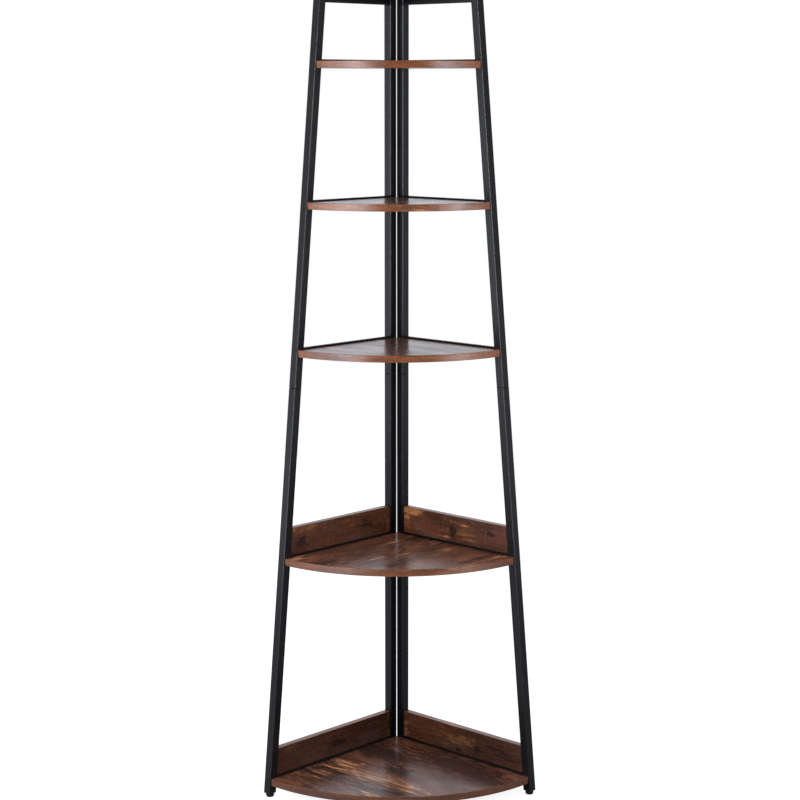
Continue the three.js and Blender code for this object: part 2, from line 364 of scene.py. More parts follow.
def bake_modifiers(piece):
    """Turns a piece with live modifiers into a plain mesh."""
    graph = bpy.context.evaluated_depsgraph_get()
    baked = bpy.data.meshes.new_from_object(piece.evaluated_get(graph), depsgraph=graph)
    old = piece.data
    piece.modifiers.clear()
    piece.data = baked
    bpy.data.meshes.remove(old)
    baked.name = piece.name
    return piece


def carve(piece, cutter_mesh):
    """Cuts a closed mesh out of a piece."""
    cutter = link_object(piece.name + "_cutter", cutter_mesh)
    boolean = piece.modifiers.new("Carve", "BOOLEAN")
    boolean.operation = "DIFFERENCE"
    boolean.solver = "EXACT"
    boolean.object = cutter
    bake_modifiers(piece)
    bpy.data.objects.remove(cutter)
    return piece


def smooth(piece, angle=35.0):
    """Smooth shading with crisp flats."""
    piece.data.shade_smooth()
    piece.data.set_sharp_from_angle(angle=math.radians(angle))
    weighted = piece.modifiers.new("Crisp flats", "WEIGHTED_NORMAL")
    weighted.keep_sharp = True
    weighted.weight = 80
    return bake_modifiers(piece)


def settle(piece, body=UNIT, nodes=()):
    """Makes a piece part of the unit, in place of the given CAD nodes."""
    if nodes:
        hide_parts(*nodes)
    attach(piece, body)
    return piece


def polar(radius, angle, height=0.0):
    return Vector((radius * math.cos(angle), radius * math.sin(angle), height))


def circle_angles(steps):
    return [2 * math.pi * step / steps for step in range(steps)]


def rod(start, end, radius, steps=24):
    """Closed round bar between two points."""
    axis = (end - start).normalized()
    across = axis.orthogonal().normalized()
    beside = axis.cross(across)
    around = [math.cos(a) * across + math.sin(a) * beside for a in circle_angles(steps)]
    return loft([[centre + radius * way for way in around] for centre in (start, end)])


def side_rod(side, start, end, radius):
    """Closed round bar between two points in a side's own axes."""
    axes = side_axes(side)
    return rod(axes @ Vector(start), axes @ Vector(end), radius)


def turned_rings(profile, steps, centre=Vector()):
    """Rings round an upright axis from (radius, height) pairs."""
    angles = circle_angles(steps)
    return [[centre + polar(radius, a, height) for a in angles] for radius, height in profile]


# Node helpers


def node(tree, kind, inputs=None, **options):
    """Adds a node; an input takes a value or another node's output."""
    made = tree.nodes.new(kind)
    for name, value in options.items():
        setattr(made, name, value)
    for key, value in (inputs or {}).items():
        if isinstance(value, bpy.types.NodeSocket):
            tree.links.new(value, made.inputs[key])
        else:
            made.inputs[key].default_value = value
    return made


def maths(tree, operation, *values):
    inputs = dict(enumerate(values))
    return node(tree, "ShaderNodeMath", inputs, operation=operation).outputs[0]


def product(tree, first, *others):
    for other in others:
        first = maths(tree, "MULTIPLY", first, other)
    return first


def total(tree, first, *others):
    for other in others:
        first = maths(tree, "ADD", first, other)
    return first


def vector_maths(tree, operation, *values):
    made = node(tree, "ShaderNodeVectorMath", dict(enumerate(values)), operation=operation)
    return made.outputs["Value" if operation in ("LENGTH", "DOT_PRODUCT") else "Vector"]


def mixed(tree, factor, first, second):
    inputs = {0: factor, 6: first, 7: second}
    return node(tree, "ShaderNodeMix", inputs, data_type="RGBA").outputs[2]


def blended(tree, second_share, first, second):
    inputs = {0: second_share, 2: first, 3: second}
    return node(tree, "ShaderNodeMix", inputs, data_type="FLOAT").outputs[0]


def ranged(tree, value, low, high, to_low=0.0, to_high=1.0, smooth_step=True):
    inputs = {0: value, 1: low, 2: high, 3: to_low, 4: to_high}
    kind = "SMOOTHSTEP" if smooth_step else "LINEAR"
    return node(tree, "ShaderNodeMapRange", inputs, interpolation_type=kind).outputs[0]


def noise(tree, vector, stretch, detail, roughness=0.5, output="Fac"):
    """Noise whose cells per metre are given along each axis."""
    inputs = {
        "Vector": vector_maths(tree, "MULTIPLY", vector, stretch),
        "Scale": 1.0,
        "Detail": detail,
        "Roughness": roughness,
    }
    return node(tree, "ShaderNodeTexNoise", inputs).outputs[output]


def node_group(name, inputs, outputs, kind="ShaderNodeTree"):
    """Node tree with named sockets: inputs as (name, type, default), outputs as (name, type)."""
    tree = bpy.data.node_groups.new(name, kind)
    sockets = [(*socket, "INPUT") for socket in inputs]
    sockets += [(*socket, None, "OUTPUT") for socket in outputs]
    for label, value_type, default, way in sockets:
        socket = tree.interface.new_socket(
            label, in_out=way, socket_type=f"NodeSocket{value_type}"
        )
        if default is not None:
            socket.default_value = default
    entry = tree.nodes.new("NodeGroupInput").outputs
    leave = tree.nodes.new("NodeGroupOutput").inputs
    return tree, entry, leave


def use_group(tree, name, inputs):
    group = bpy.data.node_groups[name]
    return node(tree, "ShaderNodeGroup", inputs, node_tree=group).outputs


def geometry_tree(name, inputs):
    """Geometry nodes tree that takes the given inputs and a material."""
    inputs = [("Geometry", "Geometry", None), *inputs, ("Material", "Material", None)]
    return node_group(name, inputs, [("Geometry", "Geometry")], "GeometryNodeTree")


def end_tree(tree, geometry, entry, leave):
    """Ends a geometry nodes tree with real faces of the given material."""
    whole = node(tree, "GeometryNodeRealizeInstances", {"Geometry": geometry}).outputs[0]
    inputs = {"Geometry": whole, "Material": entry["Material"]}
    painted = node(tree, "GeometryNodeSetMaterial", inputs).outputs[0]
    tree.links.new(painted, leave["Geometry"])
    return tree


def grow(piece, tree, values):
    """Runs a geometry nodes tree on a piece, its inputs given by name, and bakes the result."""
    modifier = piece.modifiers.new(tree.name, "NODES")
    modifier.node_group = tree
    for item in tree.interface.items_tree:
        if item.in_out == "INPUT" and item.name in values:
            modifier[item.identifier] = values[item.name]
    return bake_modifiers(piece)


def opaque(colour):
    return (*colour, 1.0)


# Shader groups


def patch_group():
    """Ragged oval mask, for a marking at one place on a board."""
    tree, entry, leave = node_group(
        "Patch",
        [
            ("Vector", "Vector", None),
            ("Ragged", "Float", 0.0),
            ("Centre", "Vector", (0, 0, 0)),
            ("Reach", "Vector", (0.05, 0.02, 1)),
            ("Strength", "Float", 1.0),
        ],
        [("Mask", "Float")],
    )
    offset = vector_maths(tree, "SUBTRACT", entry["Vector"], entry["Centre"])
    scaled = vector_maths(tree, "DIVIDE", offset, entry["Reach"])
    edge = total(tree, vector_maths(tree, "LENGTH", scaled), entry["Ragged"])
    mask = product(tree, ranged(tree, edge, 1.3, 0.45), entry["Strength"])
    tree.links.new(mask, leave["Mask"])


def laminate_group():
    """Printed rustic wood: x runs along the grain and y across it, in metres."""
    tree, entry, leave = node_group(
        "Laminate print",
        [
            ("Vector", "Vector", None),
            ("Seed", "Float", 0.0),
            ("Brightness", "Float", 1.0),
            ("Golden", "Float", 0.0),
            ("Charred", "Float", 0.0),
            ("Calm", "Float", 0.0),
            ("Quiet", "Float", 0.0),
            ("Gold", "Float", 1.0),
            ("Rings", "Float", 0.3),
            ("Ring centre", "Vector", (0.3, 0.1, 0)),
            ("Saw marks", "Float", 0.3),
            ("Speckle", "Float", 0.3),
            ("Dark tone", "Color", (0.02, 0.01, 0.01, 1)),
            ("Brown tone", "Color", (0.08, 0.04, 0.02, 1)),
            ("Golden tone", "Color", (0.25, 0.12, 0.04, 1)),
            ("Grey tone", "Color", (0.12, 0.08, 0.07, 1)),
        ],
        [("Color", "Color"), ("Roughness", "Float"), ("Height", "Float")],
    )
    shift = node(
        tree,
        "ShaderNodeVectorMath",
        {0: (3.17, 7.31, 1.7), "Scale": entry["Seed"]},
        operation="SCALE",
    ).outputs["Vector"]
    place = vector_maths(tree, "ADD", entry["Vector"], shift)
    swirl = noise(tree, place, (6, 16, 1), 2, 0.5, output="Color")
    centred = vector_maths(tree, "SUBTRACT", swirl, (0.5, 0.5, 0.5))
    drift = vector_maths(tree, "MULTIPLY", centred, (0.05, 0.025, 0.0))
    grain = vector_maths(tree, "ADD", place, drift)

    tone = noise(tree, grain, (8, 34, 1), 6, 0.62)
    clouds = noise(tree, grain, (6, 20, 3), 3, 0.5)
    weather = noise(tree, grain, (10, 28, 5), 4, 0.55)
    streaks = noise(tree, grain, (17, 190, 1), 5, 0.62)
    flames = noise(tree, grain, (13, 66, 7), 5, 0.62)
    veil = noise(tree, grain, (5, 15, 2), 3, 0.5)
    fibres = noise(tree, grain, (80, 1000, 1), 3, 0.6)
    dashes = noise(tree, grain, (150, 420, 1), 2, 0.5)
    saw = noise(tree, place, (430, 45, 1), 3, 0.6)

    calm = maths(tree, "MAXIMUM", entry["Calm"], entry["Quiet"])
    soft = ranged(tree, veil, 0.36, 0.62, 0.25, 0.95)
    lightness = blended(tree, calm, ranged(tree, tone, 0.38, 0.6), soft)
    colour = mixed(tree, lightness, entry["Dark tone"], entry["Brown tone"])
    colour = mixed(tree, 0.2, colour, entry["Brown tone"])
    grey = ranged(tree, weather, 0.52, 0.68, 0.0, 0.5)
    colour = mixed(tree, grey, colour, entry["Grey tone"])

    gold_field = total(tree, clouds, product(tree, entry["Golden"], 0.26))
    tongues = ranged(tree, flames, 0.39, 0.60, 0.10, 1.0)
    tongues = product(tree, tongues, ranged(tree, streaks, 0.38, 0.54, 0.65, 1.0))
    marked = ranged(tree, entry["Golden"], 0.0, 0.5)
    gold = product(
        tree,
        ranged(tree, gold_field, 0.56, 0.74),
        tongues,
        ranged(tree, entry["Calm"], 0.0, 1.0, 1.0, 0.15),
        blended(tree, marked, entry["Gold"], 1.0),
    )
    dash_field = total(tree, dashes, product(tree, entry["Golden"], 0.05))
    dash = product(
        tree,
        ranged(tree, dash_field, 0.56, 0.68),
        entry["Speckle"],
        ranged(tree, calm, 0.0, 1.0, 1.0, 0.3),
    )
    colour = mixed(tree, maths(tree, "MAXIMUM", gold, dash), colour, entry["Golden tone"])

    char_field = maths(tree, "SUBTRACT", 1.0, weather)
    char_field = total(tree, char_field, product(tree, entry["Charred"], 0.4))
    char = ranged(tree, char_field, 0.62, 0.82, 0.0, 0.9)
    colour = mixed(tree, char, colour, entry["Dark tone"])

    from_rings = vector_maths(tree, "SUBTRACT", grain, entry["Ring centre"])
    from_rings = vector_maths(tree, "SUBTRACT", from_rings, shift)
    stretched = vector_maths(tree, "MULTIPLY", from_rings, (2.2, 13.0, 0.0))
    wave = node(
        tree,
        "ShaderNodeTexWave",
        {"Vector": stretched, "Scale": 2.2, "Distortion": 2.5, "Detail": 3.0, "Detail Scale": 0.8},
        wave_type="RINGS",
        rings_direction="Z",
    ).outputs["Fac"]
    near = ranged(tree, vector_maths(tree, "LENGTH", stretched), 1.6, 0.5)
    lines = product(tree, ranged(tree, wave, 0.45, 0.95), near, entry["Rings"])
    ring_value = maths(tree, "SUBTRACT", 1.0, lines)

    streak_value = ranged(tree, streaks, 0.36, 0.64, 0.5, 1.45, False)
    streak_value = blended(tree, product(tree, calm, 0.93), streak_value, 0.95)
    fibre_value = ranged(tree, fibres, 0.34, 0.66, 0.8, 1.2, False)
    fibre_value = blended(tree, product(tree, calm, 0.85), fibre_value, 1.0)
    saw_depth = ranged(tree, saw, 0.36, 0.64, -0.5, 0.5, False)
    saw_value = total(tree, 1.0, product(tree, saw_depth, entry["Saw marks"]))
    detail = product(
        tree, streak_value, fibre_value, ring_value, saw_value, entry["Brightness"]
    )
    tree.links.new(vector_maths(tree, "MULTIPLY", colour, detail), leave["Color"])

    gloss = ranged(tree, weather, 0.36, 0.64, 0.04, -0.03, False)
    tree.links.new(gloss, leave["Roughness"])
    relief = total(tree, product(tree, streaks, 0.5), fibres)
    tree.links.new(relief, leave["Height"])


def coating_group():
    """Fine orange peel and grain of a sprayed or moulded surface."""
    tree, entry, leave = node_group(
        "Fine texture",
        [
            ("Vector", "Vector", None),
            ("Cells", "Float", 900.0),
            ("Depth", "Float", 0.3),
            ("Mottle", "Float", 0.1),
            ("Color", "Color", (0.01, 0.01, 0.01, 1)),
            ("Roughness", "Float", 0.4),
        ],
        [("Color", "Color"), ("Roughness", "Float"), ("Normal", "Vector")],
    )
    cells = node(
        tree,
        "ShaderNodeTexNoise",
        {"Vector": entry["Vector"], "Scale": entry["Cells"], "Detail": 2.0},
    ).outputs["Fac"]
    cloud = node(
        tree, "ShaderNodeTexNoise", {"Vector": entry["Vector"], "Scale": 14.0, "Detail": 4.0}
    ).outputs["Fac"]
    sway = product(tree, maths(tree, "SUBTRACT", cloud, 0.5), entry["Mottle"])
    tint = total(tree, 1.0, product(tree, sway, 2.0))
    tree.links.new(vector_maths(tree, "MULTIPLY", entry["Color"], tint), leave["Color"])
    tree.links.new(total(tree, entry["Roughness"], sway), leave["Roughness"])
    relief = {"Height": cells, "Strength": entry["Depth"], "Distance": RELIEF}
    tree.links.new(node(tree, "ShaderNodeBump", relief).outputs[0], leave["Normal"])


# Materials

# Height of every finish's relief, and how strongly the print of the boards shows in it
RELIEF = 0.0002
PRINT_RELIEF = 0.003
BANDING_SHEEN = 0.9
TUBE_GRAIN = {"cells": 700, "depth": 0.05, "mottle": 0.02}


def new_material(name):
    material = bpy.data.materials.new(name)
    material.use_nodes = True
    tree = material.node_tree
    return material, tree, tree.nodes["Principled BSDF"]


def coated(name, colour, roughness, cells, depth, mottle, metallic=0.0, specular=0.5):
    """Material of a sprayed, plated or moulded finish."""
    material, tree, surface = new_material(name)
    inputs = {
        "Vector": node(tree, "ShaderNodeTexCoord").outputs["Object"],
        "Cells": cells,
        "Depth": depth,
        "Mottle": mottle,
        "Color": opaque(colour),
        "Roughness": roughness,
    }
    fine = use_group(tree, "Fine texture", inputs)
    for socket, key in (("Base Color", "Color"), ("Roughness", "Roughness"), ("Normal", "Normal")):
        tree.links.new(fine[key], surface.inputs[socket])
    surface.inputs["Metallic"].default_value = metallic
    surface.inputs["Specular IOR Level"].default_value = specular
    return material


def patch_sum(tree, place, ragged, patches):
    """Sum of oval markings, each given as u, v, half length, half width and strength."""
    masks = []
    for u, v, reach_u, reach_v, strength in patches:
        inputs = {
            "Vector": place,
            "Ragged": ragged,
            "Centre": (u, v, 0),
            "Reach": (reach_u, reach_v, 1),
            "Strength": strength,
        }
        masks.append(use_group(tree, "Patch", inputs)["Mask"])
    return total(tree, *masks) if masks else 0.0


def laminate(
    name, seed, golden=(), charred=(), calm=(), ring=(0.3, 0.1), style=None, tone=None
):
    """Material of a board, with its own markings on top of the common print."""
    finishes = settings().finishes
    material, tree, surface = new_material(name)
    place = node(tree, "ShaderNodeUVMap", uv_map=BOARD_MAP).outputs["UV"]
    ragged = 0.0
    if golden or charred:
        edges = noise(tree, place, (30, 130, 1), 4, 0.6)
        ragged = ranged(tree, edges, 0.3, 0.7, -0.9, 0.9, False)
    inputs = {
        "Vector": place,
        "Seed": seed,
        "Golden": patch_sum(tree, place, ragged, golden),
        "Charred": patch_sum(tree, place, ragged, charred),
        "Calm": patch_sum(tree, place, 0.0, calm),
        "Ring centre": (*ring, 0),
        "Dark tone": opaque(finishes.dark_wood),
        "Brown tone": opaque(tone or finishes.brown_wood),
        "Golden tone": opaque(finishes.golden_wood),
        "Grey tone": opaque(finishes.grey_wood),
        **(style or {}),
    }
    wood = use_group(tree, "Laminate print", inputs)
    tree.links.new(wood["Color"], surface.inputs["Base Color"])
    gloss = finishes.edge_gloss if tone else finishes.wood_gloss
    tree.links.new(total(tree, gloss, wood["Roughness"]), surface.inputs["Roughness"])
    relief = {"Height": wood["Height"], "Strength": PRINT_RELIEF, "Distance": RELIEF}
    tree.links.new(node(tree, "ShaderNodeBump", relief).outputs[0], surface.inputs["Normal"])
    if tone:
        surface.inputs["Specular IOR Level"].default_value = BANDING_SHEEN
    return material


# Frames

# Share of a weld's size that its bead's radius takes, how uneven the bead is and the seed of
# that, and the steps of the fillet under the top rail
WELD_SHARE = 0.8
WELD_RIPPLE = 0.1
WELD_SEED = 4
FILLET_STEPS = 8


def upright_rings(low, high, part):
    """Rings of a tube: pairs of a section and a height, and whether the last meets the first."""
    sizes = settings().frames
    inner_width = sizes.tube - 2 * sizes.tube_wall
    inner_corner = max(sizes.tube_corner - sizes.tube_wall, sizes.tube_wall / 2)
    inner = rounded_ring(inner_width, inner_width, inner_corner)
    climbing = []
    for inset, height in rounded_span(low, high, sizes.end_round):
        width = sizes.tube - 2 * inset
        climbing.append((rounded_ring(width, width, sizes.tube_corner - inset), height))
    if part == "lower":
        hole = circle_like(inner, sizes.stud_hole / 2)
        bore = [(hole, low), (hole, low + sizes.plate), (inner, low + sizes.plate), (inner, high)]
        return bore + climbing[::-1], True
    return [(inner, high - sizes.cap), (inner, low)] + climbing, False


def tube_line(kind, height, in_plate):
    """Where a tube's middle is at a height, and how much its slope widens the section there."""
    if kind == "post":
        return post_axis(), 1.0
    if in_plate:
        return front_foot_axis(), 1.0
    return leg_axis() - lean() * height, lean_stretch()


def upright(side, kind, part):
    """Lower or upper tube of a post or a leg, hollow as the real one."""
    sizes = settings().frames
    low, high = (TUBE_BOTTOM, SEAM_LOW) if part == "lower" else (SEAM_HIGH, FRAME_TOP)
    rings, closed = upright_rings(low, high, part)
    points = []
    for index, (section, height) in enumerate(rings):
        middle, stretch = tube_line(kind, height, part == "lower" and index < 2)
        row = [(middle + x * stretch, y - sizes.tube / 2, height) for x, y in section]
        points.append([Vector(point) for point in row])
    mesh = placed(loft(points, closed), side_axes(side))
    for face in mesh.faces:
        height = face.calc_center_median().z
        # Faces at the seam take the second slot, the near-black matte finish: painted shadow of the
        # gap between the tubes.
        if abs(height - (SEAM_LOW + SEAM_HIGH) / 2) < sizes.end_round:
            face.material_index = 1
    return mesh


def rail_end(height, far):
    """Where a rail meets the post, or at its far end the leg."""
    return leg_reach(height) if far else post_far()


def rail(side, middle):
    """Flat tube between post and leg, its far end cut to the slope of the leg."""
    sizes = settings().frames
    depth, height = sizes.rail_depth, sizes.rail_height
    wall = 2 * sizes.rail_wall
    outer = rounded_ring(depth, height, sizes.rail_corner)
    inner = rounded_ring(depth - wall, height - wall, sizes.rail_wall / 2)

    def ring(section, far):
        points = [(rail_end(middle + z, far), y - depth / 2, middle + z) for y, z in section]
        return [Vector(point) for point in points]

    rings = [ring(outer, False), ring(outer, True), ring(inner, True), ring(inner, False)]
    return placed(loft(rings, True), side_axes(side))


def rail_middle(level):
    return middle_height(f"left_rail_{level}")


def bolt_height(level):
    return SHELF_TOPS[level] - settings().boards.thickness / 2


def bolt_places(level):
    inset = settings().fasteners.bolt_inset
    return (post_far() + inset, leg_reach(bolt_height(level)) - inset)


def bolt_holes(side, level, near, far):
    """Round cutters through a rail or into a board, from depth near to depth far."""
    fasteners = settings().fasteners
    radius = fasteners.bolt / 2 + fasteners.bolt_gap
    height = bolt_height(level)
    cutters = bmesh.new()
    for u in bolt_places(level):
        add_mesh(cutters, side_rod(side, (u, near, height), (u, far, height), radius))
    return cutters


def pin_height(level):
    return middle_height(f"left_backboard_{level}")


def backboard_middle():
    """Depth of a backboard's middle plane, flush with the frame's outer face."""
    return settings().boards.thickness / 2 - settings().frames.tube


def pin_bar(side, level, start, end, radius):
    """Bar along a backboard's pin, its ends given from the back face of the leg."""
    height = pin_height(level)
    face = leg_reach(height)
    depth = backboard_middle()
    return side_rod(side, (face + start, depth, height), (face + end, depth, height), radius)


def pin_holes(side):
    """Round cutters through the back wall of a leg for the backboards' pins."""
    wall = settings().frames.tube_wall
    radius = settings().boards.pin / 2 + CLEARANCE
    cutters = bmesh.new()
    for level in BACKBOARD_LEVELS:
        add_mesh(cutters, pin_bar(side, level, -wall, 2 * wall, radius))
    return cutters


def top_fillet(side):
    """Concave weld web in the corner between a post and the top rail."""
    sizes = settings().frames
    radius = sizes.top_fillet
    width = sizes.rail_depth - 2 * sizes.rail_corner
    bottom = FRAME_TOP - sizes.rail_height
    root = sizes.rail_wall / 2
    outline = [(-root, root), (-root, -radius)]
    outline += [(radius * rise, radius * (out - 1)) for out, rise in quarter_round(FILLET_STEPS)]
    outline.append((radius, root))
    rings = []
    for depth in (-sizes.rail_corner, -sizes.rail_corner - width):
        rings.append([Vector((post_far() + x, depth, bottom + z)) for x, z in outline])
    return placed(loft(rings), side_axes(side))


def weld_path(side, middle, far):
    """Open path of a weld: over the top of a rail's end, down its outer face and under it."""
    sizes = settings().frames
    section = rounded_ring(sizes.rail_depth, sizes.rail_height, sizes.rail_corner)
    edge = sizes.rail_depth / 2 - sizes.weld
    half = sizes.rail_height / 2
    kept = [(edge, half), *[(y, z) for y, z in section if y < edge], (edge, -half)]
    axes = side_axes(side)
    path = []
    for y, z in kept:
        height = middle + z
        if height < FRAME_TOP - sizes.weld:
            place = (rail_end(height, far), y - sizes.rail_depth / 2, height)
            path.append(axes @ Vector(place))
    return path


def weld_tree():
    """Geometry nodes that sweep a rippled bead along each edge path."""
    tree, entry, leave = geometry_tree(
        "Weld beads",
        [
            ("Radius", "Float", 0.0016),
            ("Pitch", "Float", 0.002),
            ("Ripple", "Float", 0.12),
            ("Seed", "Int", WELD_SEED),
        ],
    )
    path = node(tree, "GeometryNodeMeshToCurve", {"Mesh": entry["Geometry"]}).outputs[0]
    fine = maths(tree, "DIVIDE", entry["Pitch"], 4.0)
    path = node(
        tree, "GeometryNodeResampleCurve", {"Curve": path, "Length": fine}, mode="LENGTH"
    ).outputs[0]
    along = node(tree, "GeometryNodeSplineParameter").outputs["Length"]
    turns = maths(tree, "DIVIDE", along, entry["Pitch"])
    wave = maths(tree, "SINE", product(tree, turns, 2 * math.pi))
    random = node(
        tree, "FunctionNodeRandomValue", {2: -0.5, 3: 0.5, "Seed": entry["Seed"]}
    ).outputs[1]
    uneven = product(tree, total(tree, wave, random), entry["Ripple"])
    radius = product(tree, entry["Radius"], total(tree, uneven, 1.0))
    ring = node(tree, "GeometryNodeCurvePrimitiveCircle", {"Resolution": 10, "Radius": 1.0})
    swept = node(
        tree,
        "GeometryNodeCurveToMesh",
        {"Curve": path, "Profile Curve": ring.outputs[0], "Scale": radius, "Fill Caps": True},
    ).outputs[0]
    rounded = node(tree, "GeometryNodeSetShadeSmooth", {"Geometry": swept}).outputs[0]
    return end_tree(tree, rounded, entry, leave)


def weld_beads(side, part, tree, material):
    sizes = settings().frames
    mesh = bmesh.new()
    middles = [rail_middle(level) for level in PART_LEVELS[part]]
    if part == "upper":
        middles.append(FRAME_TOP - sizes.rail_height / 2)
    for middle in middles:
        for far in (False, True):
            verts = [mesh.verts.new(point) for point in weld_path(side, middle, far)]
            for first, second in zip(verts, verts[1:]):
                mesh.edges.new((first, second))
    values = {
        "Radius": sizes.weld * WELD_SHARE,
        "Pitch": sizes.weld_pitch,
        "Ripple": WELD_RIPPLE,
        "Seed": WELD_SEED,
        "Material": material,
    }
    return grow(link_object(f"{side}_{part}_welds", mesh), tree, values)


class SHELFUNIT_OT_frames(bpy.types.Operator):
    """Builds the welded ladder frames of powder-coated tube"""

    bl_idname = "shelfunit.frames"
    bl_label = "Steel frames"

    def execute(self, context):
        sizes = settings().frames
        finishes = settings().finishes
        powder = coated("powder_coat", finishes.powder, finishes.powder_gloss, **TUBE_GRAIN)
        # Copy of the powder coat with less gloss for the rails: painted shade, as the rails sit
        # under the boards.
        shaded = coated("rail_coat", finishes.powder, 0.45, **TUBE_GRAIN, specular=0.2)
        # Near-black, nearly glossless finish for the tubes' ends at the seam: painted shadow of the
        # gap between them.
        seam_shadow = coated(
            "cut_edge",
            finishes.cut_edge,
            roughness=0.9,
            cells=700,
            depth=0.1,
            mottle=0.05,
            specular=0.1,
        )
        tree = weld_tree()
        for side in SIDES:
            for part, levels in PART_LEVELS.items():
                for kind in ("post", "leg"):
                    name = f"{side}_{kind}_{part}"
                    piece = link_object(name + "_tube", upright(side, kind, part), powder, seam_shadow)
                    if kind == "leg" and part == "lower":
                        carve(piece, pin_holes(side))
                    settle(smooth(piece), nodes=[name])
                for level in levels:
                    name = f"{side}_rail_{level}"
                    piece = link_object(name + "_tube", rail(side, rail_middle(level)), shaded)
                    near = -sizes.rail_depth - sizes.rail_wall
                    carve(piece, bolt_holes(side, level, near, sizes.rail_wall))
                    settle(smooth(piece), nodes=[name])
                settle(weld_beads(side, part, tree, powder))
            top = FRAME_TOP - sizes.rail_height / 2
            mesh = add_mesh(rail(side, top), top_fillet(side))
            piece = link_object(f"{side}_rail_top_tube", mesh, powder)
            settle(smooth(piece), nodes=[f"{side}_rail_top"])
        return {"FINISHED"}


# Boards

# Seeds of the prints: a step for each level, where the backboards' start, and how far a
# backboard's banding lies from its print
PRINT_SEED_STEP = 1.37
BANDING_SEED_STEP = 2.11
BACKBOARD_SEED = 20
BACKBOARD_SEED_STEP = 3.3
BANDING_SEED_SHIFT = 5

GRAIN_ANGLES = {1: -45.0, 2: 45.0, 3: -45.0, 4: 45.0, 5: -45.0}
SHELF_STYLE = {"Rings": 0.6, "Saw marks": 0.2, "Speckle": 0.25}
SHELF_QUIET = {1: 0.15, 2: 0.3, 3: 0.4, 4: 0.3, 5: 0.3}
BACKBOARD_STYLE = {"Rings": 0.2, "Saw marks": 0.5, "Speckle": 0.6, "Gold": 0.3, "Quiet": 0.7}
BANDING_STYLE = {
    "Rings": 0.0,
    "Saw marks": 0.35,
    "Speckle": 0.25,
    "Quiet": 0.55,
    "Grey tone": (0.150, 0.058, 0.024, 1.0),
}

# Markings on the shelves: place across (x) and towards the front (y), both from the corner,
# then half length along the grain, half width and strength.
SHELF_GOLD = {
    1: (
        (-0.232, -0.290, 0.075, 0.026, 0.45),
        (-0.196, -0.240, 0.065, 0.020, 0.9),
        (-0.158, -0.222, 0.060, 0.016, 1.0),
        (-0.104, -0.208, 0.050, 0.017, 1.3),
        (-0.112, -0.262, 0.075, 0.019, 1.2),
        (-0.060, -0.268, 0.080, 0.020, 1.1),
        (-0.020, -0.318, 0.080, 0.018, 1.1),
        (0.010, -0.355, 0.070, 0.015, 0.7),
        (-0.070, -0.392, 0.080, 0.010, 0.8),
        (0.249, -0.306, 0.050, 0.016, 0.5),
    ),
    2: (
        (-0.222, -0.262, 0.060, 0.024, 0.8),
        (-0.120, -0.200, 0.050, 0.012, 0.5),
        (-0.017, -0.254, 0.060, 0.008, 0.5),
        (-0.075, -0.285, 0.090, 0.010, 0.6),
        (0.035, -0.275, 0.080, 0.008, 0.5),
        (0.216, -0.244, 0.060, 0.024, 0.6),
    ),
    3: ((-0.150, -0.190, 0.050, 0.014, 0.8),),
    4: ((0.090, -0.200, 0.040, 0.012, 0.7),),
}
SHELF_CHAR = {
    1: (
        (-0.146, -0.245, 0.045, 0.009, 1.1),
        (-0.186, -0.268, 0.070, 0.009, 1.1),
        (-0.208, -0.344, 0.025, 0.007, 1.0),
        (-0.078, -0.352, 0.075, 0.017, 0.8),
        (-0.022, -0.385, 0.050, 0.012, 0.8),
        (-0.004, -0.245, 0.055, 0.024, 1.0),
        (-0.030, -0.120, 0.150, 0.055, 0.7),
        (0.130, -0.200, 0.170, 0.060, 0.9),
        (0.170, -0.280, 0.120, 0.040, 0.6),
    ),
    2: (
        (-0.010, -0.316, 0.060, 0.013, 0.8),
        (0.010, -0.100, 0.120, 0.040, 0.5),
        (0.166, -0.280, 0.050, 0.010, 0.8),
        (0.080, -0.325, 0.060, 0.008, 0.6),
        (-0.165, -0.296, 0.045, 0.008, 0.7),
    ),
    3: ((0.060, -0.220, 0.060, 0.014, 0.8),),
}
SHELF_CALM = {
    1: (
        (0.170, -0.250, 0.300, 0.150, 1.9),
        (0.060, -0.160, 0.240, 0.100, 1.6),
        (-0.080, -0.130, 0.100, 0.040, 0.6),
    ),
    2: ((-0.120, -0.150, 0.120, 0.060, 0.7), (0.150, -0.190, 0.120, 0.050, 0.6)),
}
SHELF_BRIGHTNESS = {1: 1.47, 2: 1.68, 3: 1.35, 4: 1.3, 5: 1.2}
# The bandings of the two lower shelves are painted darker than the upper ones: painted shade for
# the light that falls off towards the floor.
BANDING_BRIGHTNESS = {1: 0.92, 2: 1.05, 3: 1.38, 4: 1.4, 5: 1.25}
# The lower backboards, and the left ones, are painted darker: painted shade where less light
# reaches them.
BACKBOARD_BRIGHTNESS = {("left", 1): 0.6, ("left", 2): 0.88, ("right", 1): 0.75, ("right", 2): 0.95}
RING_CENTRES = {1: (-0.075, -0.325), 2: (-0.05, -0.24), 3: (0.1, -0.2), 4: (0, -0.2), 5: (0, -0.1)}

# Markings on the backboards: distance from the corner line, height above the board's foot,
# half length, half height and strength.
BACKBOARD_GOLD = {
    ("left", 1): ((0.351, 0.030, 0.050, 0.025, 0.3), (0.024, 0.030, 0.006, 0.040, 0.5)),
    ("left", 2): (
        (0.307, 0.055, 0.040, 0.006, 0.7),
        (0.276, 0.005, 0.024, 0.007, 0.6),
        (0.024, 0.030, 0.006, 0.040, 0.7),
    ),
    ("right", 1): (
        (0.025, 0.030, 0.010, 0.035, 1.0),
        (0.110, 0.034, 0.060, 0.015, 0.6),
        (0.205, 0.031, 0.040, 0.012, 0.3),
        (0.110, 0.004, 0.080, 0.010, 0.4),
    ),
    ("right", 2): (
        (0.050, 0.055, 0.050, 0.009, 0.8),
        (0.030, 0.030, 0.010, 0.030, 0.6),
        (0.186, 0.049, 0.030, 0.006, 0.7),
        (0.225, 0.006, 0.090, 0.007, 0.6),
        (0.215, 0.030, 0.030, 0.014, 0.5),
    ),
}
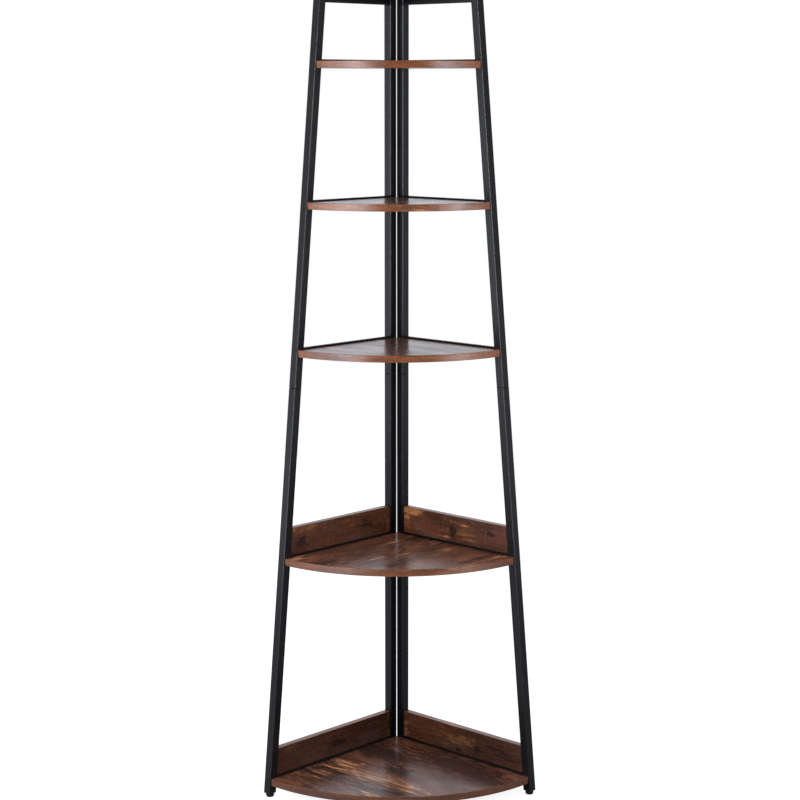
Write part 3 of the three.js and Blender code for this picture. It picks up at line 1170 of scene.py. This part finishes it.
BACKBOARD_CHAR = {
    ("left", 1): ((0.223, 0.025, 0.060, 0.016, 0.5), (0.071, 0.036, 0.050, 0.018, 0.6)),
    ("left", 2): (
        (0.308, 0.026, 0.022, 0.013, 0.8),
        (0.104, 0.032, 0.022, 0.010, 0.7),
        (0.250, 0.046, 0.008, 0.006, 0.8),
    ),
    ("right", 1): (
        (0.254, 0.022, 0.009, 0.009, 1.4),
        (0.197, 0.007, 0.009, 0.006, 1.4),
        (0.325, 0.034, 0.060, 0.015, 0.5),
    ),
    ("right", 2): (
        (0.175, 0.022, 0.009, 0.018, 1.2),
        (0.290, 0.038, 0.011, 0.010, 1.2),
        (0.120, 0.040, 0.040, 0.008, 0.4),
    ),
}


# How far an edge face may turn from the front and still count as the arc, as one less the
# cosine of that turn
ARC_TURN = 0.35


def grain_place(level, x, y):
    """Place on a board as a distance along its grain and one across it, from the corner."""
    angle = math.radians(GRAIN_ANGLES[level])
    return (
        x * math.cos(angle) + y * math.sin(angle),
        y * math.cos(angle) - x * math.sin(angle),
    )


def grain_patches(level, patches):
    return [(*grain_place(level, x, y), *rest) for x, y, *rest in patches]


def shelf_outline(radius, inset, steps=96):
    """Quarter-round outline about the corner, drawn in by an inset."""
    points = [(0.0, -inset / DIAGONAL)]
    arc = radius - inset
    margin = math.asin(inset / arc)
    start = -math.pi / 4 + margin
    sweep = math.pi / 2 - 2 * margin
    for step in range(steps + 1):
        angle = start + sweep * step / steps
        points.append((arc * math.sin(angle), -arc * math.cos(angle)))
    return points


def map_shelf(mesh, level, radius, apex_y, middle):
    """Maps the flat faces along the grain and the edge along its length."""
    layer = mesh.loops.layers.uv.new(BOARD_MAP)
    for face in mesh.faces:
        flat = abs(face.normal.z) > FLAT
        away = face.normal.y + math.hypot(face.normal.x, face.normal.y)
        face.material_index = 0 if flat else 1
        for loop in face.loops:
            x = loop.vert.co.x
            y = loop.vert.co.y - apex_y
            if flat:
                loop[layer].uv = grain_place(level, x, y)
            elif abs(away) < ARC_TURN:
                loop[layer].uv = (radius * math.atan2(x, -y), loop.vert.co.z - middle)
            else:
                loop[layer].uv = (radius + math.hypot(x, y), loop.vert.co.z - middle)


def shelf_board(level):
    low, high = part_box(f"shelf_{level}")
    radius = high.x / DIAGONAL
    rings = []
    for inset, z in rounded_span(low.z, high.z, settings().boards.edge_round):
        rings.append([Vector((x, y + high.y, z)) for x, y in shelf_outline(radius, inset)])
    mesh = loft(rings)
    map_shelf(mesh, level, radius, high.y, (low.z + high.z) / 2)
    return mesh


class SHELFUNIT_OT_shelves(bpy.types.Operator):
    """Builds the five quarter-round boards with their edge banding"""

    bl_idname = "shelfunit.shelves"
    bl_label = "Shelf boards"

    def execute(self, context):
        fasteners = settings().fasteners
        finishes = settings().finishes
        for level in LEVELS:
            print_material = laminate(
                f"shelf_{level}_laminate",
                seed=level * PRINT_SEED_STEP,
                golden=grain_patches(level, SHELF_GOLD.get(level, ())),
                charred=grain_patches(level, SHELF_CHAR.get(level, ())),
                calm=grain_patches(level, SHELF_CALM.get(level, ())),
                ring=grain_place(level, *RING_CENTRES[level]),
                style={
                    **SHELF_STYLE,
                    "Quiet": SHELF_QUIET[level],
                    "Brightness": SHELF_BRIGHTNESS[level],
                },
            )
            banding = laminate(
                f"shelf_{level}_banding",
                seed=level * BANDING_SEED_STEP,
                style={**BANDING_STYLE, "Brightness": BANDING_BRIGHTNESS[level]},
                tone=finishes.edge_wood,
            )
            name = f"shelf_{level}"
            piece = link_object(name + "_board", shelf_board(level), print_material, banding)
            for side in SIDES:
                depth = fasteners.bolt_reach + fasteners.bolt_gap
                carve(piece, bolt_holes(side, level, -fasteners.bolt, depth))
            settle(smooth(piece), nodes=[name])
        return {"FINISHED"}


def backboard(side, level):
    """Low board between post and leg, its outer end cut to the slope of the leg."""
    boards = settings().boards
    low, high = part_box(f"{side}_backboard_{level}")
    half = boards.thickness / 2

    def outline(inset):
        bottom, top = low.z + inset, high.z - inset
        start = post_far() + boards.end_gap
        return [
            (start, bottom),
            (leg_reach(bottom) - boards.end_gap, bottom),
            (leg_reach(top) - boards.end_gap, top),
            (start, top),
        ]

    rings = []
    for inset, depth in rounded_span(-half, half, boards.edge_round):
        rings.append([Vector((u, backboard_middle() + depth, z)) for u, z in outline(inset)])
    mesh = loft(rings)
    layer = mesh.loops.layers.uv.new(BOARD_MAP)
    for face in mesh.faces:
        flat = abs(face.normal.y) > FLAT
        upward = abs(face.normal.z) > 0.5
        face.material_index = 0 if flat else 1
        for loop in face.loops:
            u, n, z = loop.vert.co
            if flat:
                loop[layer].uv = (u, z - low.z)
            elif upward:
                loop[layer].uv = (u, n)
            else:
                loop[layer].uv = (z, n)
    return placed(mesh, side_axes(side))


def backboard_pin(side, level):
    boards = settings().boards
    start = -boards.end_gap - boards.pin_root
    return pin_bar(side, level, start, boards.pin_reach, boards.pin / 2)


class SHELFUNIT_OT_backboards(bpy.types.Operator):
    """Builds the low boards on the rails of the two bottom shelves, and their pins"""

    bl_idname = "shelfunit.backboards"
    bl_label = "Backboards"

    def execute(self, context):
        finishes = settings().finishes
        for side in SIDES:
            for level in BACKBOARD_LEVELS:
                name = f"{side}_backboard_{level}"
                seed = BACKBOARD_SEED + level * BACKBOARD_SEED_STEP + SIDES[side]
                front = laminate(
                    name + "_laminate",
                    seed=seed,
                    golden=BACKBOARD_GOLD[side, level],
                    charred=BACKBOARD_CHAR[side, level],
                    style={
                        **BACKBOARD_STYLE,
                        "Brightness": BACKBOARD_BRIGHTNESS[side, level],
                        "Golden tone": opaque(finishes.honey_wood),
                    },
                )
                banding = laminate(
                    name + "_banding",
                    seed=seed + BANDING_SEED_SHIFT,
                    style=BANDING_STYLE,
                    tone=finishes.edge_wood,
                )
                piece = link_object(name + "_board", backboard(side, level), front, banding)
                settle(smooth(piece), nodes=[name])
                pin = link_object(
                    name + "_pin", backboard_pin(side, level), bpy.data.materials["zinc_plate"]
                )
                settle(smooth(pin))
        return {"FINISHED"}


# Fasteners

SPIN_SEED = 7

# A bolt's facets, thread and edges: steps of the head's dome, pitch and depth of the thread,
# the share of its reach where the thread starts, height of the head's upright edge, bevel
# below it, and the socket's rim as a share of the socket
BOLT_FACETS = 36
BOLT_DOME_STEPS = 6
BOLT_PITCH = 0.001
BOLT_THREAD_DEPTH = 0.0006
BOLT_THREAD_SHARE = 0.5
BOLT_EDGE = 0.0006
BOLT_BEVEL = 0.0001
SOCKET_RIM_SHARE = 1.12
SOCKET_CORNERS = 6

# A screw's facets, thread and edges; its head's height is a share of the head, the recess's
# rim of half the head, its core of the screw and its tip of the core. The thread's crest and
# the foot after it are shares of the pitch.
SCREW_FACETS = 32
SCREW_DOME_STEPS = 5
SCREW_PITCH = 0.0016
SCREW_NECK = 0.004
SCREW_EDGE = 0.0005
SCREW_RISE_SHARE = 0.3
SCREW_RIM_SHARE = 0.5
SCREW_CORE_SHARE = 0.34
SCREW_TIP_SHARE = 0.15
CREST_SHARE = 0.35
CREST_FOOT_SHARE = 0.7

# A cross recess: which of eight facets an arm takes, how far arms and the rest reach at the
# top, and how small and how high the recess's floor is
ARM_FACETS = (7, 0, 1)
ARM_SHARE = 0.92
REST_SHARE = 0.4
FLOOR_SHARE = 0.55
FLOOR_RISE_SHARE = 0.25


def fastener_tree():
    """Geometry nodes that put a fastener on every point, each turned by chance."""
    tree, entry, leave = geometry_tree(
        "Fasteners",
        [("Fastener", "Object", None), ("Size", "Float", 1.0), ("Seed", "Int", SPIN_SEED)],
    )
    model = node(tree, "GeometryNodeObjectInfo", {"Object": entry["Fastener"]})
    facing = node(
        tree, "GeometryNodeInputNamedAttribute", {"Name": FACING}, data_type="FLOAT_VECTOR"
    ).outputs[0]
    turned = node(tree, "FunctionNodeEulerToRotation", {"Euler": facing}).outputs[0]
    angle = node(
        tree, "FunctionNodeRandomValue", {2: 0.0, 3: 2 * math.pi, "Seed": entry["Seed"]}
    ).outputs[1]
    spin = node(
        tree, "FunctionNodeAxisAngleToRotation", {"Axis": (0, 0, 1), "Angle": angle}
    ).outputs[0]
    rotation = node(
        tree,
        "FunctionNodeRotateRotation",
        {"Rotation": turned, "Rotate By": spin},
        rotation_space="LOCAL",
    ).outputs[0]
    spread = node(
        tree,
        "GeometryNodeInstanceOnPoints",
        {
            "Points": entry["Geometry"],
            "Instance": model.outputs["Geometry"],
            "Rotation": rotation,
            "Scale": entry["Size"],
        },
    ).outputs[0]
    return end_tree(tree, spread, entry, leave)


def spread_fasteners(name, places, model, tree, material):
    """Puts a copy of a fastener at each place, given as a point and the way it drives."""
    data = bpy.data.meshes.new(name)
    data.from_pydata([point for point, _ in places], [], [])
    facing = data.attributes.new(FACING, "FLOAT_VECTOR", "POINT")
    for index, (_, drive) in enumerate(places):
        facing.data[index].vector = drive.to_track_quat("Z", "Y").to_euler()
    piece = bpy.data.objects.new(name, data)
    bpy.context.scene.collection.objects.link(piece)
    values = {"Fastener": model, "Size": 1.0, "Seed": SPIN_SEED, "Material": material}
    return grow(piece, tree, values)


def socket_outline(radius, corners, count):
    """Points spread evenly along the sides of a regular recess."""
    per_side = count // corners
    points = []
    for index in range(count):
        corner, step = divmod(index, per_side)
        part = step / per_side
        first = 2 * math.pi * corner / corners
        second = 2 * math.pi * (corner + 1) / corners
        x = radius * ((1 - part) * math.cos(first) + part * math.cos(second))
        y = radius * ((1 - part) * math.sin(first) + part * math.sin(second))
        points.append((x, y))
    return points


def domed_head(rim, head, rise, edge, steps):
    """Profile of a round head, from the rim of its recess down to its upright edge."""
    return [
        (rim + (head - rim) * out, -rise + (rise - edge) * drop)
        for out, drop in quarter_round(steps)
    ]


def bolt_model():
    """Button-head bolt along +z with the underside of its head at the origin."""
    sizes = settings().fasteners
    tip = sizes.bolt_gap + settings().frames.rail_depth + CLEARANCE + sizes.bolt_reach
    head = sizes.bolt_head / 2
    rise = sizes.bolt_head_height
    socket = sizes.bolt_socket / 2
    shank = sizes.bolt / 2
    root = shank - BOLT_THREAD_DEPTH
    height = sizes.bolt_reach * BOLT_THREAD_SHARE
    profile = domed_head(socket * SOCKET_RIM_SHARE, head, rise, BOLT_EDGE, BOLT_DOME_STEPS)
    profile += [(head, -BOLT_BEVEL), (head - BOLT_BEVEL, 0.0), (shank, 0.0)]
    profile.append((shank, height - BOLT_PITCH))
    while height < tip - BOLT_PITCH:
        profile += [(root, height), (shank, height + BOLT_PITCH / 2)]
        height += BOLT_PITCH
    profile.append((root, tip))
    outline = socket_outline(socket, SOCKET_CORNERS, BOLT_FACETS)
    levels = (sizes.bolt_socket_depth - rise, -rise)
    recess = [[Vector((x, y, z)) for x, y in outline] for z in levels]
    return loft([*recess, *turned_rings(profile, BOLT_FACETS)])


def screw_model():
    """Pan-head wood screw along +z with the underside of its head at the origin."""
    sizes = settings().fasteners
    tip = sizes.screw_reach + settings().frames.tube
    head = sizes.screw_head / 2
    rise = sizes.screw_head * SCREW_RISE_SHARE
    rim = head * SCREW_RIM_SHARE
    core = sizes.screw * SCREW_CORE_SHARE
    crest = sizes.screw / 2
    profile = domed_head(rim, head, rise, SCREW_EDGE, SCREW_DOME_STEPS)
    profile += [(head, 0.0), (core, 0.0)]
    height = SCREW_NECK
    while height < tip - 3 * SCREW_PITCH:
        profile += [(core, height), (crest, height + SCREW_PITCH * CREST_SHARE)]
        profile.append((core, height + SCREW_PITCH * CREST_FOOT_SHARE))
        height += SCREW_PITCH
    profile.append((core * SCREW_TIP_SHARE, tip))
    recess_floor = []
    recess_top = []
    for index, angle in enumerate(circle_angles(SCREW_FACETS)):
        reach = rim * (ARM_SHARE if index % 8 in ARM_FACETS else REST_SHARE)
        recess_floor.append(polar(reach * FLOOR_SHARE, angle, -rise * FLOOR_RISE_SHARE))
        recess_top.append(polar(reach, angle, -rise))
    return loft([recess_floor, recess_top, *turned_rings(profile, SCREW_FACETS)])


class SHELFUNIT_OT_fasteners(bpy.types.Operator):
    """Adds the bolts of the boards and the screws of the backboards"""

    bl_idname = "shelfunit.fasteners"
    bl_label = "Bolts and screws"

    def execute(self, context):
        sizes = settings().frames
        fasteners = settings().fasteners
        zinc = bpy.data.materials["zinc_plate"]
        tree = fastener_tree()
        models = []
        for name, mesh in (("bolt_model", bolt_model()), ("screw_model", screw_model())):
            model = link_object(name, mesh, zinc)
            model.data.shade_smooth()
            model.data.set_sharp_from_angle(angle=math.radians(40))
            models.append(model)
        bolt, screw = models
        for side in SIDES:
            axes = side_axes(side)
            inward = (axes.to_3x3() @ Vector((0, 1, 0))).normalized()
            outward = (axes.to_3x3() @ Vector((1, 0, 0))).normalized()
            seat = -sizes.rail_depth - fasteners.bolt_gap
            bolts = []
            nodes = []
            for level in LEVELS:
                for place in bolt_places(level):
                    bolts.append((axes @ Vector((place, seat, bolt_height(level))), inward))
                nodes += [f"{side}_bolt_{level}_rear", f"{side}_bolt_{level}_front"]
            piece = spread_fasteners(f"{side}_shelf_bolts", bolts, bolt, tree, zinc)
            settle(piece, nodes=nodes)
            screws = []
            for level in BACKBOARD_LEVELS:
                for step in (-0.5, 0.5):
                    height = pin_height(level) + step * fasteners.screw_spacing
                    place = Vector((sizes.post_start, backboard_middle(), height))
                    screws.append((axes @ place, outward))
            piece = spread_fasteners(f"{side}_backboard_screws", screws, screw, tree, zinc)
            settle(piece)
        for model in models:
            bpy.data.objects.remove(model)
        return {"FINISHED"}


# Feet

# Facets and steps of a foot's flank, the rim's bevel and its soft corner, how far the grip
# ribs stand out and their radius, and the depth of the hollow in the sole and the shares of
# the sole where it is full and where it ends
FOOT_FACETS = 48
FLANK_STEPS = 8
FOOT_BEVEL = 0.0006
FOOT_CORNER = 0.0002
RIB_PROUD = 0.0003
RIB_RADIUS = 0.0004
HOLLOW_DEPTH = 0.0006
HOLLOW_SHARES = (0.7, 0.75)

# A stud's facets and rows to a turn, its thread's depth in pitches, and how far its tip draws
# in, in depths of the thread
STUD_FACETS = 24
STUD_ROWS = 4
STUD_THREAD_SHARE = 0.55
STUD_TIP_SHARE = 1.4


def rib_tree():
    """Geometry nodes that set grip ribs round a foot's rim."""
    tree, entry, leave = geometry_tree(
        "Grip ribs",
        [
            ("Ribs", "Int", 24),
            ("Radius", "Float", 0.009),
            ("Rib radius", "Float", 0.0004),
            ("Rib height", "Float", 0.003),
            ("Centre", "Vector", None),
        ],
    )
    circle = node(
        tree, "GeometryNodeMeshCircle", {"Vertices": entry["Ribs"], "Radius": entry["Radius"]}
    ).outputs[0]
    rib = node(
        tree,
        "GeometryNodeMeshCylinder",
        {"Vertices": 8, "Radius": entry["Rib radius"], "Depth": entry["Rib height"]},
    ).outputs[0]
    rib = node(tree, "GeometryNodeSetShadeSmooth", {"Geometry": rib}).outputs[0]
    ribs = node(
        tree, "GeometryNodeInstanceOnPoints", {"Points": circle, "Instance": rib}
    ).outputs[0]
    moved = node(
        tree, "GeometryNodeTransform", {"Geometry": ribs, "Translation": entry["Centre"]}
    ).outputs[0]
    both = node(tree, "GeometryNodeJoinGeometry")
    tree.links.new(entry["Geometry"], both.inputs[0])
    tree.links.new(moved, both.inputs[0])
    return end_tree(tree, both.outputs[0], entry, leave)


def foot_top():
    """Height of a foot's top, just under the tube."""
    return TUBE_BOTTOM - CLEARANCE


def foot_base(centre):
    """Moulded base of a foot: a flat sole, a rounded flank and an upright rim."""
    sizes = settings().feet
    rim = sizes.rim / 2 - RIB_PROUD
    sole = sizes.sole / 2
    top = foot_top()
    curve = top - sizes.rim_height
    inner, outer = HOLLOW_SHARES
    profile = [(sole * inner, HOLLOW_DEPTH), (sole * outer, 0.0), (sole, 0.0)]
    for out, rise in quarter_round(FLANK_STEPS)[1:]:
        profile.append((sole + (rim - sole) * out, curve * rise))
    profile.append((rim, top - FOOT_BEVEL))
    profile.append((rim - FOOT_CORNER, top - FOOT_CORNER))
    profile.append((rim - FOOT_BEVEL, top))
    profile.append((sizes.stud / 2 + CLEARANCE, top))
    return loft(turned_rings(profile, FOOT_FACETS, centre))


def foot_stud(centre):
    """Threaded stud: a ridge that winds up a round core."""
    sizes = settings().feet
    low = foot_top() - sizes.rim_height / 2
    high = foot_top() + sizes.stud_length
    crest = sizes.stud / 2
    depth = sizes.pitch * STUD_THREAD_SHARE
    run = high - low - 2 * sizes.pitch
    count = int(run / sizes.pitch * STUD_ROWS)
    rings = turned_rings([(crest - depth, low)], STUD_FACETS, centre)
    for row in range(count + 1):
        height = low + sizes.pitch + run * row / count
        ring = []
        for step, angle in enumerate(circle_angles(STUD_FACETS)):
            climb = step / STUD_FACETS * sizes.pitch
            phase = ((height - climb - low) / sizes.pitch) % 1.0
            radius = crest - depth * abs(2 * phase - 1)
            ring.append(centre + polar(radius, angle, height))
        rings.append(ring)
    tip = (crest - depth * STUD_TIP_SHARE, high)
    return loft(rings + turned_rings([tip], STUD_FACETS, centre))


class SHELFUNIT_OT_feet(bpy.types.Operator):
    """Builds the four levelling feet and their threaded studs"""

    bl_idname = "shelfunit.feet"
    bl_label = "Levelling feet"

    def execute(self, context):
        sizes = settings().feet
        finishes = settings().finishes
        plastic = coated(
            "black_plastic", finishes.plastic, 0.42, cells=2600, depth=0.2, mottle=0.05
        )
        zinc = bpy.data.materials["zinc_plate"]
        tree = rib_tree()
        for side in SIDES:
            axes = side_axes(side)
            middle = -settings().frames.tube / 2
            for place, axis in (("rear", post_axis()), ("front", front_foot_axis())):
                centre = axes @ Vector((axis, middle, 0))
                body = f"{side}_{place}_foot"
                name = f"{side}_foot_{place}"
                base = link_object(name + "_base", foot_base(centre), plastic)
                smooth(base, 40)
                rib_height = sizes.rim_height - 2 * FOOT_BEVEL
                rib_middle = foot_top() - FOOT_BEVEL - rib_height / 2
                values = {
                    "Ribs": sizes.ribs,
                    "Radius": sizes.rim / 2 - RIB_RADIUS,
                    "Rib radius": RIB_RADIUS,
                    "Rib height": rib_height,
                    "Centre": centre + Vector((0, 0, rib_middle)),
                    "Material": plastic,
                }
                grow(base, tree, values)
                settle(base, body=body, nodes=[name])
                stud = link_object(name + "_stud", foot_stud(centre), zinc)
                settle(smooth(stud, 50), body=body)
        return {"FINISHED"}


class SHELFUNIT_OT_sleeves(bpy.types.Operator):
    """Gives the sleeves inside the tubes their plated finish"""

    bl_idname = "shelfunit.sleeves"
    bl_label = "Sleeves"

    def execute(self, context):
        finishes = settings().finishes
        zinc = coated(
            "zinc_plate", finishes.zinc, 0.34, cells=700, depth=0.08, mottle=0.12, metallic=1.0
        )
        for side in SIDES:
            for kind in ("post", "leg"):
                sleeve = frame["nodes"][f"{side}_{kind}_sleeve"]
                sleeve.data.materials.clear()
                sleeve.data.materials.append(zinc)
        return {"FINISHED"}


# Stage

# Camera: place across, distance in front of the corner line, height over the floor, then
# tilt and turn in radians
CAMERA_X = -0.1165
CAMERA_BEFORE_CORNER = 4.52271
CAMERA_Z = 1.5963
CAMERA_PITCH = 0.1596
CAMERA_YAW = 0.0275
SENSOR = 36.0

WHITE = (1, 1, 1, 1)
STUDIO_TINT = (0.96, 0.98, 1.06, 1)
# Floor colour, darker to the right: painted shade standing in for the dimmer right side of the
# studio.
FLOOR_LEFT = (0.42, 0.42, 0.44, 1)
FLOOR_RIGHT = (0.25, 0.25, 0.26, 1)
FLOOR_GLOW = 0.88


def softboxes(stage):
    """Name, brightness, shine, angle from straight in front and width of each light panel."""
    return (
        ("left_softbox", stage.left_light, stage.shine, -42.0, 1.2),
        ("left_spill", stage.left_spill, 1.0, -69.0, 0.85),
        ("right_softbox", stage.right_light, stage.shine, 50.0, 1.0),
        ("right_spill", stage.right_spill, 1.0, 71.0, 0.7),
    )


def studio_world(stage):
    """White to the camera; backdrop, sides and low softboxes to everything else."""
    world = bpy.data.worlds.new("studio")
    bpy.context.scene.world = world
    world.use_nodes = True
    tree = world.node_tree
    surface = tree.nodes["Background"]
    way = node(tree, "ShaderNodeTexCoord").outputs["Generated"]
    parts = node(tree, "ShaderNodeSeparateXYZ", {0: way}).outputs

    # Each range is a stretch of the view's way over which one brightness turns into the next.
    walls = ranged(tree, parts["X"], -0.9, 0.9, stage.left_wall, stage.right_wall)
    walls = product(tree, walls, ranged(tree, parts["Z"], -0.05, 0.06, 1.15, 0.6))
    level = blended(tree, ranged(tree, parts["Y"], 0.25, 0.75), walls, stage.backdrop)
    level = blended(tree, ranged(tree, parts["Y"], -0.15, -0.75), level, stage.front_wall)
    level = blended(tree, ranged(tree, parts["Z"], 0.16, 0.55), level, stage.ceiling)
    turn = maths(tree, "ARCTAN2", parts["X"], product(tree, parts["Y"], -1.0))
    rising = ranged(tree, parts["Z"], -0.17, -0.05)
    band = product(tree, rising, ranged(tree, parts["Z"], 0.07, 0.0))
    for _, brightness, _, azimuth, width in softboxes(stage):
        away = maths(tree, "ABSOLUTE", maths(tree, "SUBTRACT", turn, math.radians(azimuth)))
        half = math.atan(width / 2 / stage.light_distance)
        panel = ranged(tree, away, half + 0.05, half - 0.05, 0.0, brightness)
        level = total(tree, level, product(tree, band, panel))
    seen = node(tree, "ShaderNodeLightPath").outputs["Is Camera Ray"]
    tree.links.new(mixed(tree, seen, STUDIO_TINT, WHITE), surface.inputs["Color"])
    tree.links.new(blended(tree, seen, level, 1.0), surface.inputs["Strength"])


def floor_material():
    """Floor that the camera sees as white, with the unit's shadow."""
    material, tree, surface = new_material("studio_floor")
    place = node(tree, "ShaderNodeTexCoord").outputs["Object"]
    across = node(tree, "ShaderNodeSeparateXYZ", {0: place}).outputs["X"]
    # Painted shade: the floor turns darker from left to right.
    shade = ranged(tree, across, -0.4, 0.4)
    colour = mixed(tree, shade, FLOOR_LEFT, FLOOR_RIGHT)
    tree.links.new(colour, surface.inputs["Base Color"])
    surface.inputs["Roughness"].default_value = 0.9
    surface.inputs["Specular IOR Level"].default_value = 0.0
    seen = node(tree, "ShaderNodeLightPath").outputs["Is Camera Ray"]
    surface.inputs["Emission Color"].default_value = WHITE
    tree.links.new(product(tree, seen, FLOOR_GLOW), surface.inputs["Emission Strength"])
    return material


def softbox(name, brightness, shine, azimuth, width, mirrors):
    """Upright panel that lights everything, with a twin that only posts and legs mirror."""
    stage = settings().stage
    angle = math.radians(azimuth)
    away = Vector((math.sin(angle), -math.cos(angle), 0))
    panels = (
        (False, stage.fill, stage.light_low, stage.light_high),
        (True, shine, stage.shine_low, stage.shine_high),
    )
    for mirrored, factor, low, high in panels:
        data = bpy.data.lights.new(name, "AREA")
        data.shape = "RECTANGLE"
        data.size = width
        data.size_y = high - low
        data.energy = factor * brightness * math.pi * data.size * data.size_y
        light = bpy.data.objects.new(name, data)
        light.location = stage.light_distance * away + Vector((0, 0, (low + high) / 2))
        light.rotation_euler = (-away).to_track_quat("-Z", "Y").to_euler()
        light.visible_camera = False
        light.visible_glossy = mirrored
        light.visible_diffuse = not mirrored
        if mirrored:
            light.light_linking.receiver_collection = mirrors
        bpy.context.scene.collection.objects.link(light)


class SHELFUNIT_OT_stage(bpy.types.Operator):
    """Sets the pale floor, the studio light and the camera"""

    bl_idname = "shelfunit.stage"
    bl_label = "Stage"

    def execute(self, context):
        stage = settings().stage
        scene = context.scene
        half = stage.floor_size / 2
        mesh = bmesh.new()
        corners = ((-half, -half, 0), (half, -half, 0), (half, half, 0), (-half, half, 0))
        mesh.faces.new([mesh.verts.new(corner) for corner in corners])
        floor = link_object("floor", mesh, floor_material())
        studio_world(stage)
        mirrors = bpy.data.collections.new("mirrors")
        for piece in scene.objects:
            if piece.name.endswith(("_lower_tube", "_upper_tube")):
                mirrors.objects.link(piece)
        for panel in softboxes(stage):
            softbox(*panel, mirrors)

        camera = bpy.data.cameras.new("camera")
        camera.sensor_fit = "HORIZONTAL"
        camera.sensor_width = SENSOR
        camera.lens = stage.lens
        camera.clip_end = 100.0
        viewer = bpy.data.objects.new("camera", camera)
        along = math.cos(CAMERA_PITCH)
        forward = Vector(
            (
                math.sin(CAMERA_YAW) * along,
                math.cos(CAMERA_YAW) * along,
                -math.sin(CAMERA_PITCH),
            )
        )
        viewer.location = (CAMERA_X, CORNER_Y - CAMERA_BEFORE_CORNER, CAMERA_Z)
        viewer.rotation_euler = forward.to_track_quat("-Z", "Y").to_euler()
        scene.collection.objects.link(viewer)
        scene.camera = viewer
        scene.view_settings.view_transform = "Standard"
        return {"FINISHED"}


STEPS = (
    SHELFUNIT_OT_sleeves,
    SHELFUNIT_OT_frames,
    SHELFUNIT_OT_shelves,
    SHELFUNIT_OT_backboards,
    SHELFUNIT_OT_fasteners,
    SHELFUNIT_OT_feet,
    SHELFUNIT_OT_stage,
)


class SHELFUNIT_PT_panel(bpy.types.Panel):
    """Lists the steps that build the shelf unit"""

    bl_idname = "SHELFUNIT_PT_panel"
    bl_label = "Corner Shelf Unit"
    bl_space_type = "VIEW_3D"
    bl_region_type = "UI"
    bl_category = "Shelf Unit"

    def draw(self, context):
        for step in STEPS:
            self.layout.operator(step.bl_idname)
        for label in ("frames", "boards", "fasteners", "feet", "finishes", "stage"):
            group = getattr(context.scene.shelf_unit, label)
            box = self.layout.box()
            box.label(text=label.capitalize())
            for prop in group.__annotations__:
                box.prop(group, prop)


CLASSES = (
    FrameSizes,
    BoardSizes,
    FastenerSizes,
    FootSizes,
    Finishes,
    StageSettings,
    ShelfUnitSettings,
    *STEPS,
    SHELFUNIT_PT_panel,
)


def register():
    for item in CLASSES:
        bpy.utils.register_class(item)
    bpy.types.Scene.shelf_unit = PointerProperty(type=ShelfUnitSettings)


def unregister():
    del bpy.types.Scene.shelf_unit
    for item in reversed(CLASSES):
        bpy.utils.unregister_class(item)


def main():
    register()
    patch_group()
    laminate_group()
    coating_group()
    bpy.ops.shelfunit.sleeves()
    bpy.ops.shelfunit.frames()
    bpy.ops.shelfunit.shelves()
    bpy.ops.shelfunit.backboards()
    bpy.ops.shelfunit.fasteners()
    bpy.ops.shelfunit.feet()
    bpy.ops.shelfunit.stage()


if __name__ == "__main__":
    main()
